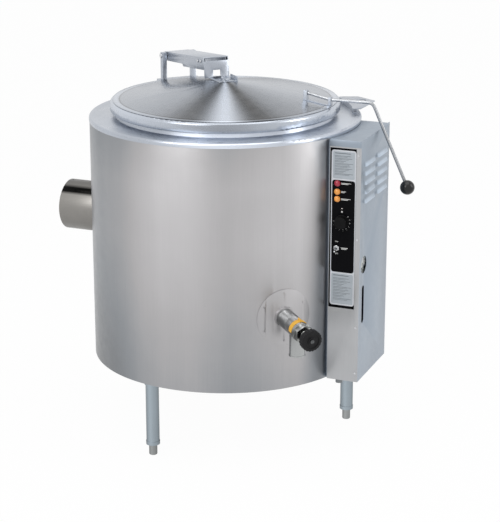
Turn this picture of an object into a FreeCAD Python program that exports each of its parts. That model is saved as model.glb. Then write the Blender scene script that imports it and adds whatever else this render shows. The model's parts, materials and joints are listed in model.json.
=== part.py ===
import FreeCAD, Part
import math
import os

# Gas heated steam jacketed kettle on three legs. Millimetres. Z is up, the floor is z = 0 and the kettle
# axis is the Z axis. The draw-off points to -Y and the cover hinge is at +Y. An azimuth runs from -Y
# towards +X.

# Vessel
BORE_R = 330.2
LINER_WALL = 2.5
BOWL_BOTTOM_Z = 510.0
BEAD_OVERHANG = 29.8
BEAD_R = BORE_R + BEAD_OVERHANG
BEAD_UNDERSIDE_Z = 1032.0
RIM_TOP_Z = 1065.0
BEAD_LOWER_ROUND = 6.0
BEAD_UPPER_ROUND = 10.0
STEAM_SPACE = 25.0
JACKET_WALL = 4.8
JACKET_R = BORE_R + LINER_WALL + STEAM_SPACE + JACKET_WALL
JACKET_CENTRE_Z = 800.0
JACKET_TOP_Z = 900.0
SHEET = 1.5
FIRE_SPACE = 30.0
CHAMBER_R = JACKET_R + FIRE_SPACE + SHEET
CHAMBER_TOP_Z = 870.0
POST_AZIMUTHS = (60.0, 180.0, 300.0)
POST_WIDTH = 30.0
POST_CLEAR = 0.5
POST_DEPTH = 18.0
POST_OUTER_R = CHAMBER_R - SHEET - POST_CLEAR
POST_INNER_R = POST_OUTER_R - POST_DEPTH
POST_TOP_Z = 862.0
POST_SHELF_Z = 840.0

# Outer body
WOOL_CLEAR = 0.5
WOOL_THICK = 29.0
WRAP_INNER_R = CHAMBER_R + WOOL_CLEAR
CASING_R = WRAP_INNER_R + WOOL_THICK + SHEET
CASING_BOTTOM_Z = 243.0
CASING_TOP_Z = 1012.0
CASING_FLANGE = 6.5
DECK_SKIRT_Z = 1004.0
DECK_Z = 1018.0
DECK_CORNER_R = 6.0
NECK_STANDOFF = 14.8
DECK_NECK_R = BORE_R + NECK_STANDOFF
LEG_INSET = 30.0
LEG_CIRCLE_R = CASING_R - LEG_INSET
PLATE_REACH = 27.0
FRAME_INNER_R = LEG_CIRCLE_R - PLATE_REACH
FRAME_PLATE = 5.5
FRAME_UPSTAND = 4.0
FRAME_UPSTAND_TOP_Z = 275.0
WRAP_BOTTOM_Z = 262.0
WRAP_TOP_Z = 1000.0
HOLE_ROOM = 1.0

# Flue
FLUE_AZIMUTH = -138.0
FLUE_Z = 665.0
FLUE_R = 81.5
FLUE_STANDOUT = 135.0
FLUE_END_R = CASING_R + FLUE_STANDOUT
FLUE_SCREW_R = 2.5

# Burner
BURNER_Z = 303.0
BURNER_TUBE_R = 12.0
BURNER_WALL = 1.6
BURNER_HALF_LENGTH = 230.0
BURNER_PITCH = 90.0
BURNER_COUNT = 5
BURNER_PORT_R = 2.0
BURNER_PORT_PITCH = 46.0
BAR_Y = 120.0
BAR_WIDTH = 22.0
BAR_THICK = 6.0
BAR_SHORT = 17.0
BAR_HALF_LENGTH = FRAME_INNER_R - BAR_SHORT
BAR_FOOT = 11.0
MANIFOLD_R = 11.0
MANIFOLD_Y = -250.0
FEED_X = -30.0
FEED_INNER_Y = -312.0

# Draw-off, measured along its own sloping axis from a point on the casing
DRAW_Z = 474.0
DRAW_SLOPE = 6.0
DRAW_TUBE_R = 28.5
DRAW_BORE_R = 25.0
DRAW_INNER_S = -400.0
DRAW_END_WALL = 3.5
DRAW_HOLE_S = (-140.0, 20.0)
JACKET_HOLE_S = (-280.0, -120.0)
VALVE_S = 60.0
VALVE_SEAT_S = 66.0
VALVE_SEAT_R = 19.0
VALVE_END_S = 112.8
SPOUT_S = 86.0
SPOUT_R = 23.5
SPOUT_BORE_R = 20.0
SPOUT_BORE_DEPTH = 45.0
SPOUT_PASSAGE_R = 18.0
SPOUT_BOTTOM_Z = 380.0
SPOUT_LIP = 4.0
BONNET_RING_R = 30.0
BONNET_RING_END_S = 119.0
BONNET_HEX_FLATS = 52.0
BONNET_HEX_END_S = 137.0
BONNET_COLLAR_R = 14.0
BONNET_END_S = 150.0
STEM_R = 5.0
RUNNING_GAP = 0.05
FACE_GAP = 0.05
HOLE_GAP = 0.1
BODY_GAP = 0.3
PLUNGER_R = 21.5
PLUNGER_S = 66.3
PLUNGER_LENGTH = 11.7
HUB_R = 12.0
HUB_S = 152.0
WHEEL_S = 163.0
WHEEL_END_S = 183.0
WHEEL_R = 33.0
WHEEL_FLUTES = 20
FLUTE_R = 4.0
FLUTE_DEPTH = 1.5
WHEEL_SCREW_R = 6.0
WHEEL_SCREW_HEAD = 3.5
TAG_R = 30.0
TAG_START_S = 88.0
TAG_END_S = 105.0
TAG_ARC = 190.0
TAG_FLAP = 7.0
ESCUTCHEON_R = 88.0
ESCUTCHEON_COLLAR_R = 34.0
ESCUTCHEON_COLLAR_S = 8.0
ESCUTCHEON_SCREW_CIRCLE_R = 76.0
ESCUTCHEON_SCREWS = 6
STRAINER_R = 60.0
STRAINER_HOLE_R = 3.0

# Legs and feet
LEG_AZIMUTHS = (("leg_front_left", "foot_front_left", -60.0),
                ("leg_front_right", "foot_front_right", 60.0),
                ("leg_rear", "foot_rear", 180.0))
LEG_R = 20.65
LEG_WALL = 2.0
LEG_BOTTOM_Z = 36.0
LEG_COLLAR_R = 21.8
LEG_COLLAR_TOP_Z = 48.0
LEG_SOCKET_R = 23.5
LEG_SOCKET_BOTTOM_Z = 235.0
FOOT_R = 13.0
FOOT_ROUND = 4.0
FOOT_TOP_Z = 33.0
FOOT_STEM_R = 8.0
FOOT_STEM_TOP_Z = 118.0


def vec(x, y, z):
    return FreeCAD.Vector(x, y, z)


ORIGIN = vec(0.0, 0.0, 0.0)
UP = vec(0.0, 0.0, 1.0)
BACK = vec(0.0, 1.0, 0.0)
RIGHT = vec(1.0, 0.0, 0.0)


def turned(shape, azimuth):
    """Copy of a shape built at the front, carried round the kettle axis."""
    copy = shape.copy()
    copy.rotate(ORIGIN, UP, azimuth)
    return copy


def polar(radius, azimuth, z):
    angle = math.radians(azimuth)
    return vec(radius * math.sin(angle), -radius * math.cos(angle), z)


def box(x0, x1, y0, y1, z0, z1):
    return Part.makeBox(x1 - x0, y1 - y0, z1 - z0, vec(x0, y0, z0))


def rod(start, direction, radius, length):
    return Part.makeCylinder(radius, length, start, direction)


def pipe(start, direction, outer, inner, length):
    return rod(start, direction, outer, length).cut(rod(start, direction, inner, length))


def ring(outer, inner, z0, z1):
    return pipe(vec(0.0, 0.0, z0), UP, outer, inner, z1 - z0)


def section(path):
    """Face in the XZ plane. A step of four values is an arc through its first point to its second."""
    edges = []
    here = path[0]
    for step in path[1:] + [path[0]]:
        end = step[-2:]
        start_point = vec(here[0], 0.0, here[1])
        end_point = vec(end[0], 0.0, end[1])
        if len(step) == 4:
            edges.append(Part.Arc(start_point, vec(step[0], 0.0, step[1]), end_point).toShape())
        else:
            edges.append(Part.makeLine(start_point, end_point))
        here = end
    return Part.Face(Part.Wire(edges))


def revolved(path):
    return section(path).revolve(ORIGIN, UP, 360.0)


def on_arc(centre, radius, degrees):
    """Point of a section arc, measured from the outward direction upwards."""
    angle = math.radians(degrees)
    return (centre[0] + radius * math.cos(angle), centre[1] + radius * math.sin(angle))


def prism(points, normal):
    """Extrusion of a closed outline of 3-D points along a vector."""
    return Part.Face(Part.makePolygon(points + [points[0]])).extrude(normal)


def hexagon(start, direction, flats, length, upright=UP):
    side = direction.cross(upright)
    side.normalize()
    other = direction.cross(side)
    other.normalize()
    reach = flats / math.sqrt(3.0)
    points = []
    for corner in range(6):
        angle = math.radians(60.0 * corner + 30.0)
        points.append(start + side * (reach * math.cos(angle)) + other * (reach * math.sin(angle)))
    along = vec(direction.x, direction.y, direction.z)
    along.normalize()
    return prism(points, along * length)


def fused(shapes):
    whole = shapes[0]
    if len(shapes) > 1:
        whole = whole.fuse(shapes[1:])
    return whole.removeSplitter()


def grouped(shapes):
    return Part.makeCompound(shapes)


def save(name, shape):
    shape.exportStep("parts/" + name + ".step")
    print(name, len(shape.Solids), shape.isValid())


# The sloping axis of the draw-off
DRAW_POINT = vec(0.0, -CASING_R, DRAW_Z)
DRAW_OUT = vec(0.0, -math.cos(math.radians(DRAW_SLOPE)), -math.sin(math.radians(DRAW_SLOPE)))


def draw_at(s):
    return DRAW_POINT + DRAW_OUT * s


def draw_rod(s0, s1, radius):
    return rod(draw_at(s0), DRAW_OUT, radius, s1 - s0)


def flue_rod(r0, r1, radius):
    return turned(rod(vec(0.0, -r0, FLUE_Z), vec(0.0, -1.0, 0.0), radius, r1 - r0), FLUE_AZIMUTH)


LINER_R = BORE_R + LINER_WALL
BOWL_CENTRE_Z = BOWL_BOTTOM_Z + BORE_R


def make_liner():
    corner_low = (BEAD_R - BEAD_LOWER_ROUND, BEAD_UNDERSIDE_Z + BEAD_LOWER_ROUND)
    corner_high = (BEAD_R - BEAD_UPPER_ROUND, RIM_TOP_Z - BEAD_UPPER_ROUND)
    bowl = (0.0, BOWL_CENTRE_Z)
    path = [on_arc(bowl, LINER_R, -90.0),
            on_arc(bowl, LINER_R, -45.0) + (LINER_R, BOWL_CENTRE_Z),
            (LINER_R, BEAD_UNDERSIDE_Z),
            (corner_low[0], BEAD_UNDERSIDE_Z),
            on_arc(corner_low, BEAD_LOWER_ROUND, -45.0) + (BEAD_R, corner_low[1]),
            (BEAD_R, corner_high[1]),
            on_arc(corner_high, BEAD_UPPER_ROUND, 45.0) + (corner_high[0], RIM_TOP_Z),
            (BORE_R, RIM_TOP_Z),
            (BORE_R, BOWL_CENTRE_Z),
            on_arc(bowl, BORE_R, -45.0) + (0.0, BOWL_BOTTOM_Z)]
    return revolved(path).cut(draw_rod(DRAW_INNER_S + DRAW_END_WALL, 0.0, DRAW_BORE_R))


def make_casing(holes):
    flange_r = CASING_R - SHEET - CASING_FLANGE
    shell = revolved([(CASING_R - SHEET, CASING_BOTTOM_Z + SHEET),
                      (flange_r, CASING_BOTTOM_Z + SHEET),
                      (flange_r, CASING_BOTTOM_Z),
                      (CASING_R, CASING_BOTTOM_Z),
                      (CASING_R, CASING_TOP_Z),
                      (CASING_R - SHEET, CASING_TOP_Z)])
    return shell.cut(holes)


def make_deck():
    skirt_r = CASING_R + SHEET
    corner = (skirt_r - DECK_CORNER_R, DECK_Z - DECK_CORNER_R)
    inner_round = DECK_CORNER_R - SHEET
    path = [(CASING_R, DECK_SKIRT_Z),
            (skirt_r, DECK_SKIRT_Z),
            (skirt_r, corner[1]),
            on_arc(corner, DECK_CORNER_R, 45.0) + (corner[0], DECK_Z),
            (DECK_NECK_R, DECK_Z),
            (DECK_NECK_R, BEAD_UNDERSIDE_Z),
            (DECK_NECK_R - SHEET, BEAD_UNDERSIDE_Z),
            (DECK_NECK_R - SHEET, DECK_Z - SHEET),
            (corner[0], DECK_Z - SHEET),
            on_arc(corner, inner_round, 45.0) + (CASING_R, corner[1])]
    return revolved(path)


def make_base_frame():
    bottom = CASING_BOTTOM_Z + SHEET
    plate_top = bottom + FRAME_PLATE
    return revolved([(FRAME_INNER_R, bottom),
                     (CASING_R - SHEET, bottom),
                     (CASING_R - SHEET, plate_top),
                     (FRAME_INNER_R + FRAME_UPSTAND, plate_top),
                     (FRAME_INNER_R + FRAME_UPSTAND, FRAME_UPSTAND_TOP_Z),
                     (FRAME_INNER_R, FRAME_UPSTAND_TOP_Z)])


FRAME_TOP_Z = CASING_BOTTOM_Z + SHEET + FRAME_PLATE


def make_jacket(holes):
    inner_r = JACKET_R - JACKET_WALL
    bowl = (0.0, JACKET_CENTRE_Z)
    shell = revolved([on_arc(bowl, JACKET_R, -90.0),
                      on_arc(bowl, JACKET_R, -45.0) + (JACKET_R, JACKET_CENTRE_Z),
                      (JACKET_R, JACKET_TOP_Z),
                      (LINER_R, JACKET_TOP_Z),
                      (LINER_R, JACKET_TOP_Z - JACKET_WALL),
                      (inner_r, JACKET_TOP_Z - JACKET_WALL),
                      (inner_r, JACKET_CENTRE_Z),
                      on_arc(bowl, inner_r, -45.0) + (0.0, JACKET_CENTRE_Z - inner_r)])
    half = POST_WIDTH / 2.0
    post = box(-half, half, -POST_OUTER_R, -POST_INNER_R, FRAME_TOP_Z, POST_TOP_Z)
    shelf = box(-half, half, -POST_INNER_R, -inner_r, POST_SHELF_Z, POST_TOP_Z)
    shelf = shelf.cut(rod(vec(0.0, 0.0, POST_SHELF_Z), UP, JACKET_R - 1.0, POST_TOP_Z - POST_SHELF_Z))
    pieces = [shell]
    for azimuth in POST_AZIMUTHS:
        pieces.append(turned(post.fuse(shelf), azimuth))
    return fused(pieces).cut(holes)


def make_chamber(holes):
    shell = revolved([(CHAMBER_R - SHEET, FRAME_TOP_Z),
                      (CHAMBER_R, FRAME_TOP_Z),
                      (CHAMBER_R, CHAMBER_TOP_Z),
                      (JACKET_R, CHAMBER_TOP_Z),
                      (JACKET_R, CHAMBER_TOP_Z - SHEET),
                      (CHAMBER_R - SHEET, CHAMBER_TOP_Z - SHEET)])
    return shell.cut(holes)


def make_wrap(holes):
    return ring(CASING_R - SHEET, WRAP_INNER_R, WRAP_BOTTOM_Z, WRAP_TOP_Z).cut(holes)


def make_flue_collar():
    inner_r = FLUE_R - SHEET
    collar = flue_rod(CHAMBER_R - 30.0, FLUE_END_R, FLUE_R)
    collar = collar.cut(flue_rod(0.0, FLUE_END_R, inner_r))
    screw = turned(rod(vec(0.0, 12.0 - FLUE_END_R, FLUE_Z), UP, FLUE_SCREW_R, 100.0), FLUE_AZIMUTH)
    return collar.cut(rod(vec(0.0, 0.0, 0.0), UP, CHAMBER_R, RIM_TOP_Z)).cut(screw)


def burner_xs():
    middle = (BURNER_COUNT - 1) / 2.0
    return [(index - middle) * BURNER_PITCH for index in range(BURNER_COUNT)]


def make_burners():
    pieces = []
    for x in burner_xs():
        start = vec(x, -BURNER_HALF_LENGTH, BURNER_Z)
        tube = rod(start, BACK, BURNER_TUBE_R, 2.0 * BURNER_HALF_LENGTH)
        inner = rod(start, BACK, BURNER_TUBE_R - BURNER_WALL, 2.0 * BURNER_HALF_LENGTH - BURNER_WALL)
        tube = tube.cut(inner)
        y = -BURNER_HALF_LENGTH + BURNER_PORT_PITCH
        while y < BURNER_HALF_LENGTH:
            tube = tube.cut(rod(vec(x, y, BURNER_Z), UP, BURNER_PORT_R, BURNER_TUBE_R + 1.0))
            y += BURNER_PORT_PITCH
        pieces.append(tube)
    bar_top = BURNER_Z - BURNER_TUBE_R + BURNER_WALL / 2.0
    half = BAR_WIDTH / 2.0
    for y in (-BAR_Y, BAR_Y):
        bar = box(-BAR_HALF_LENGTH, BAR_HALF_LENGTH, y - half, y + half, bar_top - BAR_THICK, bar_top)
        for x in (-BAR_HALF_LENGTH, BAR_HALF_LENGTH - BAR_FOOT):
            foot = box(x, x + BAR_FOOT, y - half, y + half, FRAME_UPSTAND_TOP_Z, bar_top - BAR_THICK)
            bar = bar.fuse(foot)
        for x in burner_xs():
            bar = bar.cut(rod(vec(x, y - BAR_WIDTH, BURNER_Z), BACK, BURNER_TUBE_R, 2.0 * BAR_WIDTH))
        pieces.append(bar)
    return grouped(pieces)


def make_manifold():
    ends = burner_xs()
    half = ends[-1] + BURNER_TUBE_R + 6.0
    cross = rod(vec(-half, MANIFOLD_Y, BURNER_Z), RIGHT, MANIFOLD_R, 2.0 * half)
    feed = turned(rod(vec(FEED_X, GAS_VALVE_Y + GAS_VALVE_HALF, BURNER_Z), BACK, MANIFOLD_R,
                      FEED_INNER_Y - GAS_VALVE_Y - GAS_VALVE_HALF), CONSOLE_AZIMUTH)
    pieces = [cross, feed]
    jet_r = BURNER_TUBE_R - BURNER_WALL - HOLE_GAP
    for x in ends:
        pieces.append(rod(vec(x, MANIFOLD_Y, BURNER_Z), BACK, jet_r, -BURNER_HALF_LENGTH - MANIFOLD_Y + 4.0))
    return fused(pieces)


def feed_hole():
    room = MANIFOLD_R + HOLE_ROOM
    return turned(rod(vec(FEED_X, -CASING_R - 10.0, BURNER_Z), BACK, room, 60.0), CONSOLE_AZIMUTH)


def make_draw_tube():
    tube = draw_rod(DRAW_INNER_S, VALVE_S, DRAW_TUBE_R)
    tube = tube.cut(draw_rod(DRAW_INNER_S + DRAW_END_WALL, VALVE_S, DRAW_BORE_R))
    ball = Part.makeSphere(LINER_R, vec(0.0, 0.0, BOWL_CENTRE_Z))
    return tube.cut(ball)


def make_tag():
    bore = draw_rod(TAG_START_S, TAG_END_S, DRAW_TUBE_R + HOLE_GAP)
    band = draw_rod(TAG_START_S, TAG_END_S, TAG_R).cut(bore)
    drop = TAG_R * math.sin(math.radians((TAG_ARC - 180.0) / 2.0))
    cutter = box(-2.0 * TAG_R, 2.0 * TAG_R, -4.0 * TAG_R, 0.0, -4.0 * TAG_R, -drop)
    cutter.translate(vec(0.0, -CASING_R, DRAW_Z))
    cutter.rotate(DRAW_POINT, RIGHT, DRAW_SLOPE)
    flap = box(-1.0, 1.0, -(TAG_END_S), -(TAG_START_S), TAG_R - 0.5, TAG_R + TAG_FLAP)
    flap.translate(DRAW_POINT)
    flap.rotate(DRAW_POINT, RIGHT, DRAW_SLOPE)
    return fused([band.cut(cutter), flap])


def make_escutcheon():
    facing = vec(0.0, -1.0, 0.0)
    plate = ring(CASING_R + SHEET, CASING_R, DRAW_Z - ESCUTCHEON_R, DRAW_Z + ESCUTCHEON_R)
    disc = rod(vec(0.0, 0.0, DRAW_Z), facing, ESCUTCHEON_R, CASING_R + 20.0)
    plate = plate.common(disc)
    collar = draw_rod(-20.0, ESCUTCHEON_COLLAR_S, ESCUTCHEON_COLLAR_R)
    collar = collar.cut(rod(vec(0.0, 0.0, CASING_BOTTOM_Z), UP, CASING_R, RIM_TOP_Z))
    pieces = [plate, collar]
    for index in range(ESCUTCHEON_SCREWS):
        angle = math.radians(360.0 * index / ESCUTCHEON_SCREWS + 30.0)
        x = ESCUTCHEON_SCREW_CIRCLE_R * math.cos(angle)
        z = DRAW_Z + ESCUTCHEON_SCREW_CIRCLE_R * math.sin(angle)
        surface = math.sqrt(CASING_R * CASING_R - x * x)
        pieces.append(rod(vec(x, -surface - 0.5, z), facing, 3.5, 3.0))
    return fused(pieces).cut(draw_rod(-40.0, ESCUTCHEON_COLLAR_S + 1.0, DRAW_TUBE_R + HOLE_GAP))


def make_valve_body():
    body = draw_rod(VALVE_S, VALVE_END_S, DRAW_TUBE_R)
    axis_point = draw_at(SPOUT_S)
    top = axis_point.z
    spout_start = vec(0.0, axis_point.y, SPOUT_BOTTOM_Z)
    spout = rod(spout_start, UP, SPOUT_R, top - SPOUT_BOTTOM_Z)
    lip = rod(spout_start, UP, SPOUT_R + 1.5, SPOUT_LIP)
    body = body.fuse([spout, lip])
    body = body.cut(draw_rod(VALVE_S - 1.0, VALVE_SEAT_S + 1.0, VALVE_SEAT_R))
    body = body.cut(draw_rod(VALVE_SEAT_S, VALVE_END_S, DRAW_BORE_R))
    body = body.cut(rod(spout_start - UP, UP, SPOUT_PASSAGE_R, top - SPOUT_BOTTOM_Z))
    return body.cut(rod(spout_start - UP, UP, SPOUT_BORE_R, SPOUT_BORE_DEPTH + 1.0))


def make_bonnet():
    ring_part = draw_rod(VALVE_END_S + FACE_GAP, BONNET_RING_END_S, BONNET_RING_R)
    hex_part = hexagon(draw_at(BONNET_RING_END_S), DRAW_OUT, BONNET_HEX_FLATS,
                       BONNET_HEX_END_S - BONNET_RING_END_S)
    collar = draw_rod(BONNET_HEX_END_S, BONNET_END_S, BONNET_COLLAR_R)
    bonnet = ring_part.fuse([hex_part, collar])
    return bonnet.cut(draw_rod(VALVE_END_S - 1.0, BONNET_END_S + 1.0, STEM_R + RUNNING_GAP))


def make_stem():
    plunger = draw_rod(PLUNGER_S, PLUNGER_S + PLUNGER_LENGTH, PLUNGER_R)
    groove_s = PLUNGER_S + PLUNGER_LENGTH / 2.0
    groove = draw_rod(groove_s - 1.5, groove_s + 1.5, PLUNGER_R + 1.0)
    plunger = plunger.cut(groove.cut(draw_rod(groove_s - 2.0, groove_s + 2.0, PLUNGER_R - 1.5)))
    return fused([plunger, draw_rod(PLUNGER_S, WHEEL_END_S - BODY_GAP, STEM_R)])


def make_handwheel():
    hub = draw_rod(HUB_S, WHEEL_S, HUB_R)
    rim = draw_rod(WHEEL_S, WHEEL_END_S, WHEEL_R)
    flute_start = vec(WHEEL_R + FLUTE_R - FLUTE_DEPTH, -WHEEL_END_S - 1.0, 0.0)
    cutters = []
    for index in range(WHEEL_FLUTES):
        flute = rod(flute_start, BACK, FLUTE_R, WHEEL_END_S - WHEEL_S + 2.0)
        flute.rotate(ORIGIN, BACK, 360.0 * index / WHEEL_FLUTES)
        flute.translate(DRAW_POINT)
        flute.rotate(DRAW_POINT, RIGHT, DRAW_SLOPE)
        cutters.append(flute)
    wheel = rim.cut(cutters).fuse(hub)
    wheel = wheel.cut(draw_rod(WHEEL_END_S - 3.0, WHEEL_END_S + 1.0, WHEEL_R - 9.0).cut(
        draw_rod(WHEEL_END_S - 4.0, WHEEL_END_S + 2.0, HUB_R)))
    return wheel.cut(draw_rod(HUB_S - 1.0, WHEEL_END_S + 1.0, STEM_R + RUNNING_GAP))


def make_wheel_screw():
    head = draw_rod(WHEEL_END_S, WHEEL_END_S + WHEEL_SCREW_HEAD, WHEEL_SCREW_R)
    slot_s = WHEEL_END_S + WHEEL_SCREW_HEAD - 1.2
    slot = draw_rod(slot_s, slot_s + 3.0, WHEEL_SCREW_R + 1.0)
    slot = slot.common(box(-0.9, 0.9, -900.0, 0.0, 0.0, 900.0))
    return head.cut(slot)


def make_strainer():
    ball = Part.makeSphere(BORE_R, vec(0.0, 0.0, BOWL_CENTRE_Z))
    inner = Part.makeSphere(BORE_R - 2.0, vec(0.0, 0.0, BOWL_CENTRE_Z))
    centre_y = STRAINER_Y
    disc = rod(vec(0.0, centre_y, BOWL_BOTTOM_Z - 20.0), UP, STRAINER_R, 120.0)
    plate = disc.common(ball).cut(inner)
    holes = []
    for circle in range(1, 4):
        count = 6 * circle
        for index in range(count):
            angle = 2.0 * math.pi * index / count
            x = circle * 15.0 * math.cos(angle)
            y = centre_y + circle * 15.0 * math.sin(angle)
            holes.append(rod(vec(x, y, BOWL_BOTTOM_Z - 20.0), UP, STRAINER_HOLE_R, 120.0))
    return plate.cut(holes)


STRAINER_Y = -58.0


def make_leg(azimuth):
    leg = pipe(vec(0.0, -LEG_CIRCLE_R, LEG_BOTTOM_Z), UP, LEG_R, LEG_R - LEG_WALL,
               CASING_BOTTOM_Z + SHEET - LEG_BOTTOM_Z)
    collar = pipe(vec(0.0, -LEG_CIRCLE_R, LEG_BOTTOM_Z), UP, LEG_COLLAR_R, LEG_R - LEG_WALL,
                  LEG_COLLAR_TOP_Z - LEG_BOTTOM_Z)
    socket = pipe(vec(0.0, -LEG_CIRCLE_R, LEG_SOCKET_BOTTOM_Z), UP, LEG_SOCKET_R, LEG_R,
                  CASING_BOTTOM_Z - LEG_SOCKET_BOTTOM_Z)
    insert = pipe(vec(0.0, -LEG_CIRCLE_R, LEG_BOTTOM_Z), UP, LEG_R - LEG_WALL, FOOT_STEM_R + RUNNING_GAP,
                  LEG_COLLAR_TOP_Z - LEG_BOTTOM_Z)
    return turned(fused([leg, collar, socket, insert]), azimuth)


def make_foot(azimuth):
    low = (FOOT_R - FOOT_ROUND, FOOT_ROUND)
    foot = revolved([(0.0, 0.0),
                     (low[0], 0.0),
                     on_arc(low, FOOT_ROUND, -45.0) + (FOOT_R, FOOT_ROUND),
                     (FOOT_R, FOOT_TOP_Z),
                     (FOOT_STEM_R, FOOT_TOP_Z),
                     (FOOT_STEM_R, FOOT_STEM_TOP_Z),
                     (0.0, FOOT_STEM_TOP_Z)])
    foot.translate(vec(0.0, -LEG_CIRCLE_R, 0.0))
    return turned(foot, azimuth)


# Cover, its arm and its lever
COVER_FLAT_R = 40.0
COVER_INSET = 8.0
COVER_R = BEAD_R - COVER_INSET
COVER_BRIM = 21.0
COVER_BREAK_R = COVER_R - COVER_BRIM
COVER_TOP_Z = 1119.2
COVER_EDGE_Z = 1066.8
COVER_UNDER_Z = 1065.3
LIP_CLEAR = 6.7
COVER_LIP_R = BORE_R - LIP_CLEAR
COVER_LIP_Z = 1053.0
HINGE_STANDOFF = 15.0
HINGE_Y = BEAD_R + HINGE_STANDOFF
HINGE_Z = 1140.0
PIN_R = 5.0
PIN_HALF = 60.3
PIN_HEAD_R = 8.0
PIN_HEAD = 3.5
POST_X = 44.0
POST_SIDE = 16.0
POST_RISE = 11.0
BRACKET_TABLE_Z = 1062.0
BRACKET_Y = HINGE_Y - 9.0
BRACKET_SHEET = 4.0
BRACKET_HALF = 70.0
BRACKET_FOOT_Y = HINGE_Y + 29.0
BRACKET_TABLE_Y = HINGE_Y + 17.0
BRACKET_BOLT_R = 6.0
ARM_RISE = -5.8
ARM_HALF = 42.5
ARM_SHEET = 3.0
ARM_REAR_S = -14.0
ARM_FRONT_Y = 68.0
ARM_FRONT_S = HINGE_Y - ARM_FRONT_Y
ARM_TOP_U = 12.5
ARM_REAR_U = -16.5
ARM_FRONT_U = -20.5
INNER_HALF = 36.0
INNER_SHEET = 2.0
INNER_REAR_S = 90.0
INNER_FRONT_S = ARM_FRONT_S - 4.0
INNER_BOTTOM_U = -28.0
INNER_SLOPE = 34.0
ARM_BOLT_SPOTS = (ARM_FRONT_S - 45.0, ARM_FRONT_S - 22.0)
ARM_BOLT_R = 4.5
ARM_BOLT_HEAD = 3.0
CLAMP_TOP_U = 0.5
CLAMP_FOOT = 3.0
CLAMP_FOOT_Y = (-22.0, 66.0)
CLAMP_FOOT_X = (-30.0, 34.0)
CLAMP_HOLE_HALF = 12.5
CLAMP_HOLE_Z = (COVER_TOP_Z + CLAMP_FOOT, COVER_TOP_Z + 23.8)
CLAMP_TAB_Z = COVER_TOP_Z + 14.8
LEVER_AZIMUTH = 45.0
LEVER_R = 5.0
LEVER_PATH = ((262.0, 1102.6), (343.0, 1084.0), (478.0, 1084.0), (593.0, 829.0))
LEVER_BEND_R = 25.0
BALL_R = 22.5
LEVER_STRIP = (258.0, 335.0)
LEVER_STRIP_HALF = 9.0
LEVER_STRIP_THICK = 2.5
LEVER_CLIP_HALF = 8.0
LEVER_CLIP_TOP_Z = 1092.0
LEVER_CLIP_R = (338.0, 348.0)
LEVER_BRACKET_R = (259.0, 271.0)
LEVER_BRACKET_TOP_Z = 1109.0


def cover_envelope():
    """Solid filled below the cover's upper face."""
    return revolved([(0.0, COVER_LIP_Z),
                     (COVER_R, COVER_LIP_Z),
                     (COVER_R, COVER_EDGE_Z),
                     (COVER_BREAK_R, COVER_EDGE_Z),
                     (COVER_FLAT_R, COVER_TOP_Z),
                     (0.0, COVER_TOP_Z)])


def make_cover():
    slope = (COVER_TOP_Z - COVER_EDGE_Z) / (COVER_BREAK_R - COVER_FLAT_R)
    lip_outer_z = COVER_EDGE_Z - SHEET + slope * (COVER_BREAK_R - COVER_LIP_R)
    return revolved([(0.0, COVER_TOP_Z),
                     (COVER_FLAT_R, COVER_TOP_Z),
                     (COVER_BREAK_R, COVER_EDGE_Z),
                     (COVER_R, COVER_EDGE_Z),
                     (COVER_R, COVER_UNDER_Z),
                     (COVER_BREAK_R, COVER_UNDER_Z),
                     (COVER_LIP_R, lip_outer_z),
                     (COVER_LIP_R, COVER_LIP_Z),
                     (COVER_LIP_R - SHEET, COVER_LIP_Z),
                     (COVER_LIP_R - SHEET, lip_outer_z + slope * SHEET),
                     (COVER_FLAT_R, COVER_TOP_Z - SHEET),
                     (0.0, COVER_TOP_Z - SHEET)])


def make_hinge_bracket():
    foot = box(-BRACKET_HALF, BRACKET_HALF, BRACKET_Y, BRACKET_FOOT_Y, DECK_Z, DECK_Z + BRACKET_SHEET)
    web = box(-BRACKET_HALF, BRACKET_HALF, BRACKET_Y, BRACKET_Y + BRACKET_SHEET, DECK_Z, BRACKET_TABLE_Z)
    table = box(-BRACKET_HALF, BRACKET_HALF, BRACKET_Y, BRACKET_TABLE_Y,
                BRACKET_TABLE_Z - 1.5 * BRACKET_SHEET, BRACKET_TABLE_Z)
    pieces = [foot, web, table]
    post_y = HINGE_Y - POST_SIDE / 2.0
    for x in (POST_X, -POST_X - POST_SIDE):
        pieces.append(box(x, x + POST_SIDE, post_y, post_y + POST_SIDE, BRACKET_TABLE_Z, HINGE_Z + POST_RISE))
    for x in (-BRACKET_HALF + 14.0, 0.0, BRACKET_HALF - 14.0):
        bolt = vec(x, BRACKET_FOOT_Y - 16.0, DECK_Z + BRACKET_SHEET)
        pieces.append(hexagon(bolt, UP, 2.0 * BRACKET_BOLT_R, 4.0, RIGHT))
    for x in (-BRACKET_HALF, BRACKET_HALF - BRACKET_SHEET):
        corners = [vec(x, BRACKET_Y, DECK_Z),
                   vec(x, BRACKET_FOOT_Y, DECK_Z),
                   vec(x, BRACKET_TABLE_Y, BRACKET_TABLE_Z),
                   vec(x, BRACKET_Y, BRACKET_TABLE_Z)]
        pieces.append(prism(corners, RIGHT * BRACKET_SHEET))
    hole = rod(vec(-2.0 * BRACKET_HALF, HINGE_Y, HINGE_Z), RIGHT, PIN_R + RUNNING_GAP, 4.0 * BRACKET_HALF)
    return fused(pieces).cut(hole)


def make_hinge_pin():
    shaft = rod(vec(-PIN_HALF, HINGE_Y, HINGE_Z), RIGHT, PIN_R, 2.0 * PIN_HALF)
    pieces = [shaft]
    for x in (-PIN_HALF - PIN_HEAD, PIN_HALF):
        pieces.append(rod(vec(x, HINGE_Y, HINGE_Z), RIGHT, PIN_HEAD_R, PIN_HEAD))
    return fused(pieces)


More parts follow.
